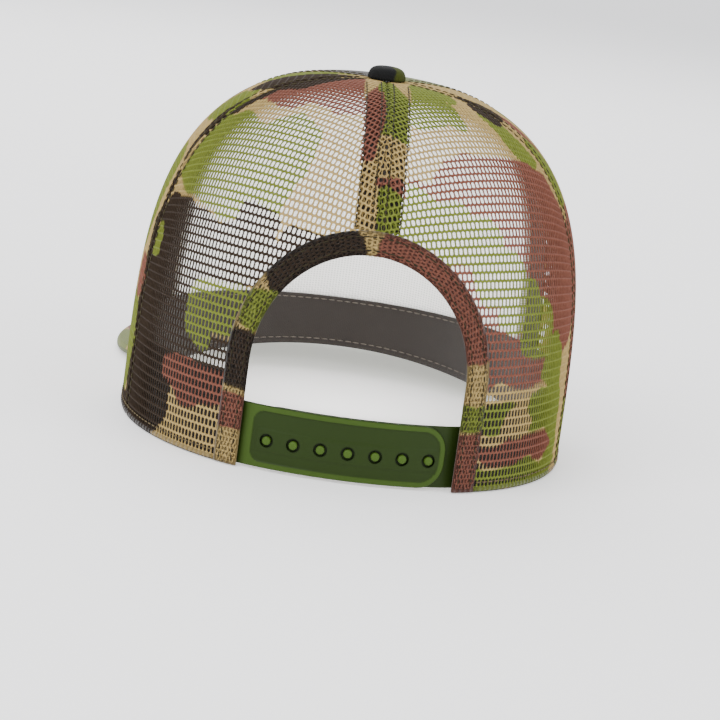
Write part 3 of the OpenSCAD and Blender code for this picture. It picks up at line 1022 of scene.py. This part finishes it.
def strap_body(name, side, wall, level, wall_inner, height_at, nodes):
    """Closed strap whose outer face stands height_at(s, z) over its inner one; s runs along it."""
    plan, out, run = strap_plan(side, level, wall_inner)
    height = sizes().strap_height
    across, along = 56, 176
    tip = peg_span() + TIP_REACH
    s_line = np.linspace(run[0], tip, along)
    even = np.linspace(0, 1, across)
    z_line = height * (0.5 - 0.5 * np.cos(np.pi * even)) * 0.35 + height * even * 0.65
    s, z = np.meshgrid(s_line, z_line, indexing="ij")
    corner = np.maximum(np.abs(z - height / 2) - height / 2 + TIP_RADIUS, 0)
    shorter = TIP_RADIUS - np.sqrt(np.maximum(TIP_RADIUS ** 2 - corner ** 2, 0))
    share = np.clip((s - (tip - 24 * MM)) / (24 * MM), 0, 1)
    s = s - shorter * share

    def at(values):
        return np.interp(s, run, values)

    foot = np.stack([at(plan[:, 0]), at(plan[:, 1])], -1)
    way = np.stack([at(out[:, 0]), at(out[:, 1])], -1)
    edge = rounded_box(s, z, run[0], tip, 0, height, 1 * MM, TIP_RADIUS)
    soft = 0.45 * MM
    lip = soft - np.sqrt(np.maximum(soft ** 2 - np.maximum(soft + edge, 0) ** 2, 0))
    outer_h = np.maximum(height_at(s, z) - lip, wall * 0.5)
    inner_h = lip * 0.6
    upper = np.concatenate([foot + way * outer_h[..., None], (z + STRAP_FLOOR)[..., None]], -1)
    lower = np.concatenate([foot + way * inner_h[..., None], (z + STRAP_FLOOR)[..., None]], -1)
    piece = sheet_shell(name, upper, lower, plastic_material("Strap plastic", "print"), None)
    outwards(piece)
    only(piece)
    bpy.ops.object.shade_smooth_by_angle(angle=math.radians(50))
    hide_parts(*nodes)
    return piece


def paint_strap_shading(piece, wall_inner):
    """Painted light and shade on the strap plastic: a painted highlight where the face stands proud,
    painted shadow in the holes and round the pegs' feet.
    """
    points = piece_points(piece)
    raised = (np.hypot(points[:, 0], points[:, 1] - STRAP_CENTRE) - wall_inner - 1.22 * MM) / (0.15 * MM)
    # Painted highlight: the raised border is coloured 1.73 times the strap colour against 0.78 on the flat
    # field and land, as if lit from above.
    shade = 0.78 + 0.95 * np.clip(raised, 0, 1)
    for k in range(PEG_COUNT):
        axis = strap_matrix(k, wall_inner)
        away = points - np.array(axis.translation)
        away -= np.outer(away @ np.array(axis.col[2][:3]), np.array(axis.col[2][:3]))
        inside = np.linalg.norm(away, axis=1)
        # Painted shadow: places within a hole's radius, or round a peg's foot on the plate, are coloured
        # 0.55 of the strap colour.
        shade = np.where((inside < HOLE_RADIUS + 0.1 * MM) & (raised < 1.2), 0.55, shade)
    tint = np.array(colours().strap)[None] * shade[:, None]
    if "print" in piece.data.color_attributes:
        piece.data.color_attributes.remove(piece.data.color_attributes["print"])
    set_print(piece, np.concatenate([tint, np.ones((len(tint), 1))], -1))


def bore(piece, cutters):
    """Cuts the joined cutters out of a piece."""
    only(cutters[0])
    for cutter in cutters[1:]:
        cutter.select_set(True)
    bpy.ops.object.join()
    cutter = bpy.context.object
    only(piece)
    cut = piece.modifiers.new("Holes", "BOOLEAN")
    cut.operation, cut.solver, cut.object = "DIFFERENCE", "EXACT", cutter
    bpy.ops.object.modifier_apply(modifier=cut.name)
    bpy.data.objects.remove(cutter)
    bpy.ops.object.shade_smooth_by_angle(angle=math.radians(40))


def on_strap(k):
    """Turn of peg k about the straps' centre, counted from +Y towards -X, in radians."""
    return (k * sizes().peg_pitch - peg_span()) / STRAP_RADIUS


def strap_matrix(k, r):
    turn = on_strap(k)
    out = Vector((-math.sin(turn), math.cos(turn), 0))
    place = Vector((0, STRAP_CENTRE, STRAP_FLOOR + PEG_LINE)) + out * r
    along = Vector((math.cos(turn), math.sin(turn), 0))
    return Matrix.Translation(place) @ Matrix((along, out.cross(along), out)).transposed().to_4x4()


# Operators

class CAP_OT_net_panels(bpy.types.Operator):
    """Net of the two back and two side panels, with the print knitted into its yarn"""
    bl_idname = "cap.net_panels"
    bl_label = "Net panels"

    def execute(self, context):
        spans = {"back_panel_left": (0, SIDE_SEAM), "back_panel_right": (-SIDE_SEAM, 0),
                 "side_panel_left": (SIDE_SEAM, FRONT_SEAM), "side_panel_right": (-FRONT_SEAM, -SIDE_SEAM)}
        for node, (from_a, to_a) in spans.items():
            piece = net_panel("net_" + node, from_a, to_a)
            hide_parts(node)
        return {"FINISHED"}


class CAP_OT_seams(bpy.types.Operator):
    """Folded net, twill tape and topstitching along the crown's seams"""
    bl_idname = "cap.seams"
    bl_label = "Crown seams"

    def execute(self, context):
        s = sizes()
        opening_top = s.opening_spring + s.opening_rise
        above_binding = opening_top + s.binding_width
        seam_net("folded_net_rear", 0, DOUBLE_HALF_WIDTH, opening_top + 0.5 * MM, 5.5 * MM,
                         crown_print)
        seam_tape("tape_rear", 0, 7.5 * MM, above_binding + 1 * MM, "back_seam_tape")
        for side, word in ((1, "left"), (-1, "right")):
            seam_net("folded_net_side_" + word, side * SIDE_SEAM, SIDE_DOUBLE_HALF_WIDTH, 1 * MM,
                             6.5 * MM,
                             crown_print)
            seam_tape("tape_side_" + word, side * SIDE_SEAM, TAPE_HALF_WIDTH, 0.6 * MM,
                      f"side_seam_tape_{word}",
                      1.77 * MM)
            seam_tape("tape_front_" + word, side * FRONT_SEAM, TAPE_HALF_WIDTH,
                      hem_height(FRONT_SEAM) + 1 * MM,
                      f"front_seam_tape_{word}")
            for row, edge in (("a", -TOPSTITCH_OFFSET), ("b", TOPSTITCH_OFFSET)):
                seam_stitches(f"seam_stitches_side_{word}_{row}", side * SIDE_SEAM, edge, 2 * MM,
                              TOPSTITCH_END, "olive")
                seam_stitches(f"seam_stitches_front_{word}_{row}", side * FRONT_SEAM, edge,
                              hem_height(FRONT_SEAM) + 2 * MM, TOPSTITCH_END, "olive")
        for row, edge in (("a", -1), ("b", 1)):
            seam_stitches("seam_stitches_rear_" + row, 0, edge * 2.2 * MM, above_binding, 8.5 * MM, "brown")
            seam_stitches("seam_stitches_fold_" + row, 0, edge * 7.6 * MM, above_binding, 13 * MM, "brown")
        return {"FINISHED"}


class CAP_OT_front(bpy.types.Operator):
    """Printed front panel and the foam laminated behind it"""
    bl_idname = "cap.front"
    bl_label = "Front panel and foam"

    def execute(self, context):
        def layer(d, margin, end_radius, deep):
            def place(u, v):
                rough = FRONT_SEAM + (360 - 2 * FRONT_SEAM) * u
                t_low = t_at_height(hem_height(rough, -4.35 * MM if d else 0.0) + deep * 0.09)
                t = t_low + (t_at_radius(rough, end_radius) - t_low) * v
                edge = np.degrees(margin / girth(FRONT_SEAM, t))
                a = FRONT_SEAM + edge + (360 - 2 * FRONT_SEAM - 2 * edge) * u
                near = np.radians(np.minimum(a - FRONT_SEAM, 360 - FRONT_SEAM - a)) * girth(a, t)
                dip = -0.45 * MM * (1 - smooth(near / (1.6 * MM))) if d == 0 else 0
                return crown_point(a, t, d + dip)
            return place

        cloth = laid_sheet("front_cloth", layer(0.0, 0.12 * MM, BUTTON_CLEAR, 0), 140, 130, (0.170, 0.180),
                           0.8 * MM,
                           printed_cloth())
        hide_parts("front_panel")
        foam = laid_sheet("foam", layer(-1.05 * MM, 6.8 * MM, 15 * MM, 3.3 * MM), 90, 80, (0.160, 0.165),
                          3.2 * MM,
                          cloth_material("Foam backing", tuple(colours().foam), 900.0, 0.25 * MM, 0.0, 0.05,
                                         0.9, 0.2),
                          round_edge=0.8 * MM)
        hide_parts("front_foam")
        return {"FINISHED"}


class CAP_OT_sweatband(bpy.types.Operator):
    """Folded cotton band inside the rim, with its hem stitches"""
    bl_idname = "cap.sweatband"
    bl_label = "Sweatband"

    def execute(self, context):
        from_a = 28.9
        height = sizes().band_height

        def level(a):
            return (-1.9 - 2.7 * smooth((80 - np.abs(180 - a)) / 24)) * MM

        def place(u, v, lift=0.0):
            a = from_a + (360 - 2 * from_a) * u
            low = band_hem(a)
            z = low + (height - low) * v
            d = level(a) - 0.12 * MM - 0.18 * MM * np.sin(np.pi * v) ** 0.5 + lift
            return crown_point(a, t_at_height(z, d), d)

        band = laid_sheet("band_cloth", place, 220, 18, (0.48, 0.031), 1.35 * MM,
                          cloth_material("Sweatband twill", tuple(colours().band), 1300.0, 0.2 * MM, 1.0),
                          round_edge=0.45 * MM)
        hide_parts("sweatband")
        u = np.linspace(0.004, 0.996, 700)
        for name, v in (("band_stitches_low", 0.12), ("band_stitches_high", 0.93)):
            line = place(u, np.full(u.shape, v), -1.5 * MM)
            out = -np.stack([line[:, 0], line[:, 1], 0 * u], -1)
            out /= np.linalg.norm(out, axis=1, keepdims=True)
            stitch_row(name, line, out, "grey", 3.2 * MM, 2.4 * MM, 0.5 * MM)
        return {"FINISHED"}


class CAP_OT_opening(bpy.types.Operator):
    """Folded net binding round the rear opening, with its two rows of stitches"""
    bl_idname = "cap.opening"
    bl_label = "Opening binding"

    def execute(self, context):
        width = sizes().binding_width
        _, _, whole = opening_line(0.0, 0.0)
        sections = 150
        share = np.linspace(0, 1, sections)
        outer_d, inner_d = 0.42 * MM, -1.55 * MM
        loop = []
        for k in range(28):
            turn = 2 * math.pi * k / 28
            c, s = math.cos(turn), math.sin(turn)
            g = width / 2 * (1 - math.copysign(abs(c) ** 0.45, c)) * 0.992 + 0.03 * MM
            d = (outer_d + inner_d) / 2 + (outer_d - inner_d) / 2 * math.copysign(abs(s) ** 0.5, s)
            loop.append(opening_point(share, g, d))
        points, faces = swept(np.stack(loop, 1))
        folded = cloth_material("Folded net", "print", 620.0, 0.5 * MM, 0.0, 0.25, 0.9, 0.2, "Object")
        base = new_piece("binding", points, faces, folded)
        outwards(base)
        # Painted shade: the inner layers under the net cover are the print dimmed to a third, for the shade
        # inside the fold.
        set_print(base, dimmed(tinted(binding_print(piece_points(base)), 5, 0.10), 0.33))
        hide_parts("opening_binding")

        pitch, row, bar, yarn = net_sizes()
        net = hex_net(width / 2 + 2 * pitch, 0.0, whole, pitch * 0.66, row * 0.56, bar * 0.95, yarn * 0.72)
        points, crest, hole, back, centre = net
        kept = ((np.abs(centre[:, 0]) < width / 2 - 0.5 * pitch) & (centre[:, 1] > 0.4 * row)
                & (centre[:, 1] < whole - 0.4 * row))
        used, faces = net_faces(crest[kept], hole[kept], back[kept])
        points = points[used]
        shift = np.random.RandomState(17).normal(0, 0.16 * MM, (len(points), 2))
        points[:, :2] += shift
        g = np.clip(points[:, 0] + width / 2, 0.25 * MM, width - 0.25 * MM)
        where = opening_point(np.clip(points[:, 1] / whole, 0.001, 0.999), g,
                              (0.80 - 0.55 * points[:, 2]) * MM)
        cover = new_piece("binding_net", where, faces, yarn_material("Camouflage net"))
        set_print(cover, dimmed(tinted(binding_print(where), 9, 0.25), 0.8))
        for word, g in (("inner", 2.0 * MM), ("outer", 6.4 * MM)):
            share = np.linspace(0.006, 0.994, 300)
            line = opening_point(share, g, 0.72 * MM)
            stitch_row("binding_stitches_" + word, line, opening_out(share, g), "brown", 2.8 * MM, 2.1 * MM,
                       0.55 * MM)
        return {"FINISHED"}


class CAP_OT_rim(bpy.types.Operator):
    """Rolled edge of the net along the rim, and the stitches that hold the sweatband"""
    bl_idname = "cap.rim"
    bl_label = "Rim edge"

    def execute(self, context):
        half = sizes().opening_half_width + sizes().binding_width
        start = float(azimuth_at(half, 0.0)) + 0.2
        for side, word in ((1, "left"), (-1, "right")):
            a = np.linspace(start, FRONT_SEAM - 0.4, 150) * side
            lift = hem_height(a) + 0.95 * MM
            loop = []
            for k in range(12):
                turn = 2 * math.pi * k / 12
                d = (-0.42 + 0.72 * math.cos(turn)) * MM
                z = lift + 0.85 * MM * math.sin(turn)
                loop.append(crown_point(a, t_at_height(z, d), d))
            points, faces = swept(np.stack(loop, 1))
            roll = new_piece("rim_roll_" + word, points, faces,
                             cloth_material("Folded net", "print", follow="Object"))
            outwards(roll)
            points = piece_points(roll)
            set_print(roll, dimmed(tinted(crown_print(azimuth_of(points), position_of(points)), 3), 0.62))
            line = crown_point(a, t_at_height(hem_height(a) + 3.4 * MM), 0.1 * MM)
            stitch_row("rim_stitches_" + word, line, crown_normal(a, t_at_height(hem_height(a) + 3.4 * MM)),
                       "tan", 2.9 * MM, 2.2 * MM, 0.5 * MM)
        return {"FINISHED"}


class CAP_OT_straps(bpy.types.Operator):
    """Moulded straps: one with a bordered field and seven holes, one with seven pegs"""
    bl_idname = "cap.straps"
    bl_label = "Straps"

    def execute(self, context):
        height = sizes().strap_height
        land_s = peg_span() + 3.8 * MM
        field_s = peg_span() + TIP_REACH - BORDER

        def holed_face(s, z):
            field = rounded_box(s, z, -land_s - 1.6 * MM, field_s, BORDER, height - BORDER, 4 * MM,
                                TIP_RADIUS - BORDER)
            land = rounded_box(s, z, -land_s, land_s, PEG_LINE - 3.9 * MM, PEG_LINE + 3.9 * MM, 0.5 * MM,
                               1.5 * MM)
            face = 0.9 * MM + 0.5 * MM * smooth((field + 0.15 * MM) / (0.5 * MM))
            return np.maximum(face, 0.9 * MM + 0.3 * MM * smooth((0.25 * MM - land) / (0.5 * MM)))

        strap = strap_body("holed_strap", 1, HOLE_WALL, HOLE_LEVEL, HOLE_INNER, holed_face,
                           ("hole_strap_tab", "hole_strap"))
        cutters = []
        for k in range(PEG_COUNT):
            cutter = added(bpy.ops.mesh.primitive_cylinder_add, vertices=40, radius=HOLE_RADIUS,
                           depth=6 * MM)
            cutter.data.transform(strap_matrix(k, HOLE_INNER + 0.7 * MM))
            cutters.append(cutter)
        bore(strap, cutters)
        paint_strap_shading(strap, HOLE_INNER)

        def plate_face(s, z):
            return np.full(np.shape(s), PEG_WALL)

        plate = strap_body("pegged_strap", -1, PEG_WALL, PEG_LEVEL, PEG_OUTER - PEG_WALL, plate_face,
                           ("peg_strap_tab", "peg_strap"))
        paint_strap_shading(plate, PEG_OUTER - PEG_WALL)
        pegs = []
        for k in range(PEG_COUNT):
            peg = added(bpy.ops.mesh.primitive_uv_sphere_add, segments=28, ring_count=18, radius=PEG_RADIUS)
            points = piece_points(peg)
            up = points[:, 2] / PEG_RADIUS
            points[:, 2] = np.where(up > 0, 1.45 * MM + 0.7 * MM * up, 1.45 * MM + (1.45 + 0.4) * MM * up)
            wide = np.where(up > 0, 1, 1 / np.maximum(np.sqrt(np.maximum(1 - up ** 2, 0)), 0.02))
            points[:, :2] *= np.where((up > -0.97) & (up < 0), wide, 1)[:, None]
            move_points(peg, points)
            peg.data.transform(strap_matrix(k, PEG_OUTER))
            peg.data.update()
            peg.data.materials.append(plastic_material("Strap plastic", "print"))
            # Painted highlight: the pegs are the strap's own plastic, coloured 2.3 times the strap colour
            # to stand for the light on their domes.
            tint = np.array(colours().strap) * 2.3
            set_print(peg, np.tile(np.array([*tint, 1.0]), (len(points), 1)))
            pegs.append(peg)
        only(plate)
        for peg in pegs:
            peg.select_set(True)
        bpy.context.view_layer.objects.active = plate
        bpy.ops.object.join()
        bpy.ops.object.shade_smooth_by_angle(angle=math.radians(50))
        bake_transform(strap)
        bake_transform(plate)
        return {"FINISHED"}


class CAP_OT_button(bpy.types.Operator):
    """Cloth cover of the button on the crown, over its pressed core and the plastic retainer"""
    bl_idname = "cap.button"
    bl_label = "Button"

    def execute(self, context):
        low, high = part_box("button_cover")
        radius = (high.x - low.x) / 2
        cover = added(bpy.ops.mesh.primitive_uv_sphere_add, "button_cloth", segments=72, ring_count=36,
                      radius=1)
        points = piece_points(cover)
        turn = np.arctan2(points[:, 1], points[:, 0])
        up = points[:, 2]
        pucker = 1 + 0.018 * np.sin(turn * 11) * np.exp(-((up + 0.1) / 0.35) ** 2)
        across = np.hypot(points[:, 0], points[:, 1])
        full = np.where(up > 0, across ** 0.6, across ** 0.35) * radius * 0.99 * pucker
        a = 90 - np.degrees(turn)
        skirt = crown_point(a, t_at_radius(a, np.clip(full, BUTTON_CLEAR, radius)), 0.3 * MM)[:, 2]
        level = skirt + np.maximum(high.z - skirt, 0) * np.maximum(up, 0) ** 0.7
        points = np.stack([full * np.cos(turn), full * np.sin(turn), level], -1)
        move_points(cover, points)
        cloth = cloth_material("Button cloth", "print", 2400.0, 0.1 * MM, sheen=0.02, follow="Object")
        cover.data.materials.append(cloth)
        bpy.ops.object.shade_smooth()
        c = colours()
        wavy = 0.9 * MM * np.sin(points[:, 1] / MM * 0.9)
        patch = smooth((-points[:, 0] - 2.2 * MM + wavy) / (0.5 * MM) + 0.5)[:, None]
        tint = np.array(c.button)[None] * (1 - patch) + np.array(c.green)[None] * 0.35 * patch
        set_print(cover, np.concatenate([tint, np.ones((len(tint), 1))], -1))
        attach(cover, "cap")
        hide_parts("button_cover")
        return {"FINISHED"}


class CAP_OT_visor(bpy.types.Operator):
    """Printed upper cover, lining and rows of stitches of the visor"""
    bl_idname = "cap.visor"
    bl_label = "Visor covers"

    def execute(self, context):
        rows = 6
        spacing = 8.5 * MM
        inner_d = -4.2 * MM

        def spread(u):
            return VISOR_HALF_ANGLE * np.sin(np.pi / 2 * (2 * u - 1)) * 0.998

        def radii(a):
            return plan_radius(180 + a) + inner_d, visor_edge(a)

        def groove(away):
            k = np.clip(np.round(away / spacing), 1, rows)
            return np.exp(-((away - k * spacing) / (0.9 * MM)) ** 2)

        def place_top(u, v):
            a = spread(u)
            inner, edge = radii(a)
            curl = np.clip((v - 0.93) / 0.07, 0, 1) * math.pi / 2
            flat = np.clip(v / 0.93, 0, 1)
            round_r = 1.75 * MM
            r = inner + (edge - round_r - inner) * flat + round_r * np.sin(curl)
            x, y = plan_point(180 + a, r)
            grooved = (curl == 0) * (r > inner + 5 * MM)
            depth = round_r * (1 - np.cos(curl)) + 0.22 * MM * groove(edge - r) * grooved
            return np.stack([x, y, visor_top(x) - depth], -1)

        def place_under(u, v):
            point = place_top(u, v)
            return np.stack([point[:, 0], point[:, 1],
                             2 * visor_top(point[:, 0]) - VISOR_THICK - point[:, 2]], -1)

        cut = (0.21, 0.085)
        top = laid_sheet("visor_cloth", place_top, 150, 90, cut, 0.62 * MM,
                         printed_cloth(), flip=False)
        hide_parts("visor_top_cover")
        under = laid_sheet("visor_lining_cloth", place_under, 150, 90, cut, 0.62 * MM,
                           cloth_material("Visor lining cloth", tuple(colours().lining), 1500.0, 0.12 * MM),
                           flip=True)
        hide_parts("visor_under_cover")

        def place_board(u, v):
            a = spread(u)
            inner, edge = radii(a)
            r = inner + (np.maximum(edge - 2.2 * MM, inner + 0.5 * MM) - inner) * v
            x, y = plan_point(180 + a, r)
            return np.stack([x, y, visor_top(x) - 0.85 * MM], -1)

        board = laid_sheet("visor_stiffener", place_board, 120, 30, cut, 1.9 * MM,
                           plastic_material("Board plastic", (0.70, 0.68, 0.62), 0.55), flip=False)
        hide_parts("visor_board")
        a = np.linspace(-VISOR_HALF_ANGLE, VISOR_HALF_ANGLE, 600)
        for k in range(1, rows + 1):
            edge = visor_edge(a)
            r = edge - k * spacing
            kept = r > plan_radius(180 + a) + 3 * MM
            x, y = plan_point(180 + a[kept], r[kept])
            tilt = 2 * VISOR_ARCH * x / visor_half_width() ** 2
            out = np.stack([tilt, 0 * x, 1 + 0 * x], -1)
            for word, sign, z in (("top", 1, visor_top(x) - 0.12 * MM),
                                  ("under", -1, visor_top(x) - VISOR_THICK + 0.12 * MM)):
                stitch_row(f"visor_stitches_{word}_{k}", np.stack([x, y, z], -1), out * sign, "sand",
                           3.0 * MM, 2.3 * MM, 0.5 * MM)
        return {"FINISHED"}


class CAP_OT_kept_nodes(bpy.types.Operator):
    """Finishes of the frame's own pieces that stay: button core and retainer"""
    bl_idname = "cap.kept_nodes"
    bl_label = "Button core and retainer"

    def execute(self, context):
        finishes = {"button_core": metal_material("Pressed aluminium", (0.72, 0.72, 0.74)),
                    "button_retainer": plastic_material("Retainer plastic", (0.02, 0.02, 0.02), 0.5)}
        for node, material in finishes.items():
            for slot in bpy.data.objects[node].material_slots:
                slot.material = material
        return {"FINISHED"}


CAMERA_AZIMUTH, CAMERA_ELEVATION, CAMERA_ROLL = (math.radians(angle) for angle in (177.15, 11.36, 7.86))
CAMERA_TARGET = Vector((-4.48 * MM, 0, 24.72 * MM))
CAMERA_DISTANCE = 1.1
CAMERA_LENS, CAMERA_SENSOR = 147.2, 36
CAP_MIDDLE, VISOR_MIDDLE = Vector((0, 0, 0.06)), Vector((0, -0.2, 0.09))
# Name, place, aim, watts and width of each light
LIGHTS = (("Key", (0.9, 1.0, 1.2), CAP_MIDDLE, 24, 1.2), ("Fill", (-1.1, 0.8, 0.7), CAP_MIDDLE, 10, 1.2),
          ("Front", (0.2, -1.2, 1.1), CAP_MIDDLE, 18, 1.2),
          ("Glow", (0, 0.005, 0.05), VISOR_MIDDLE, 0.13, 0.05))


class CAP_OT_stage(bpy.types.Operator):
    """Flat pale floor, soft daylight with four area lights, and the camera"""
    bl_idname = "cap.stage"
    bl_label = "Stage"

    def execute(self, context):
        floor = added(bpy.ops.mesh.primitive_plane_add, "floor", size=8, location=(0, 0, -0.4 * MM))
        material, tree, shader, place = base_material("Pale floor", 0.7)
        drift = mottled(tree, place, (0.93, 0.92, 0.915), 3.0, 0.02)
        link(tree, drift["Color"], shader.inputs["Base Color"])
        shader.inputs["Emission Color"].default_value = (1, 0.99, 0.98, 1)
        shader.inputs["Emission Strength"].default_value = 0.5
        floor.data.materials.append(material)

        world = bpy.data.worlds.new("Soft daylight")
        world.use_nodes = True
        sky = world.node_tree.nodes["Background"].inputs
        sky["Color"].default_value = (0.93, 0.95, 1.0, 1)
        sky["Strength"].default_value = 1.12
        context.scene.world = world
        for name, place, aim, watts, width in LIGHTS:
            bpy.ops.object.light_add(type="AREA", location=place)
            light = bpy.context.object
            light.name = name
            light.visible_camera = False
            light.data.energy, light.data.size = watts, width
            light.rotation_euler = (aim - Vector(place)).to_track_quat("-Z", "Y").to_euler()

        level = math.cos(CAMERA_ELEVATION)
        back = Vector((math.sin(CAMERA_AZIMUTH) * level, -math.cos(CAMERA_AZIMUTH) * level,
                       math.sin(CAMERA_ELEVATION)))
        right = (-back).cross(Vector((0, 0, 1))).normalized()
        up = right.cross(-back)
        turned_right = right * math.cos(CAMERA_ROLL) + up * math.sin(CAMERA_ROLL)
        turned_up = up * math.cos(CAMERA_ROLL) - right * math.sin(CAMERA_ROLL)
        data = bpy.data.cameras.new("Camera")
        data.lens, data.sensor_width = CAMERA_LENS, CAMERA_SENSOR
        camera = bpy.data.objects.new("Camera", data)
        context.scene.collection.objects.link(camera)
        turn = Matrix((turned_right, turned_up, back)).transposed().to_4x4()
        camera.matrix_world = Matrix.Translation(CAMERA_TARGET + back * CAMERA_DISTANCE) @ turn
        context.scene.camera = camera
        return {"FINISHED"}


STEPS = (CAP_OT_stage, CAP_OT_net_panels, CAP_OT_seams, CAP_OT_front, CAP_OT_sweatband, CAP_OT_opening,
         CAP_OT_rim,
         CAP_OT_straps, CAP_OT_button, CAP_OT_visor, CAP_OT_kept_nodes)


class CAP_PT_panel(bpy.types.Panel):
    """Sizes, colours and pieces of the cap"""
    bl_idname = "CAP_PT_panel"
    bl_label = "Mesh-back cap"
    bl_space_type = "VIEW_3D"
    bl_region_type = "UI"
    bl_category = "Cap"

    def draw(self, context):
        for group in (context.scene.cap_sizes, context.scene.cap_colours):
            for name in group.__annotations__:
                self.layout.prop(group, name)
        for step in STEPS:
            self.layout.operator(step.bl_idname)


CLASSES = (CapSizes, CapColours) + STEPS + (CAP_PT_panel,)


def register():
    for cls in CLASSES:
        bpy.utils.register_class(cls)
    bpy.types.Scene.cap_sizes = bpy.props.PointerProperty(type=CapSizes)
    bpy.types.Scene.cap_colours = bpy.props.PointerProperty(type=CapColours)


def unregister():
    del bpy.types.Scene.cap_colours
    del bpy.types.Scene.cap_sizes
    for cls in reversed(CLASSES):
        bpy.utils.unregister_class(cls)


def main():
    register()
    for step in STEPS:
        group, name = step.bl_idname.split(".")
        getattr(getattr(bpy.ops, group), name)()


if __name__ == "__main__":
    main()
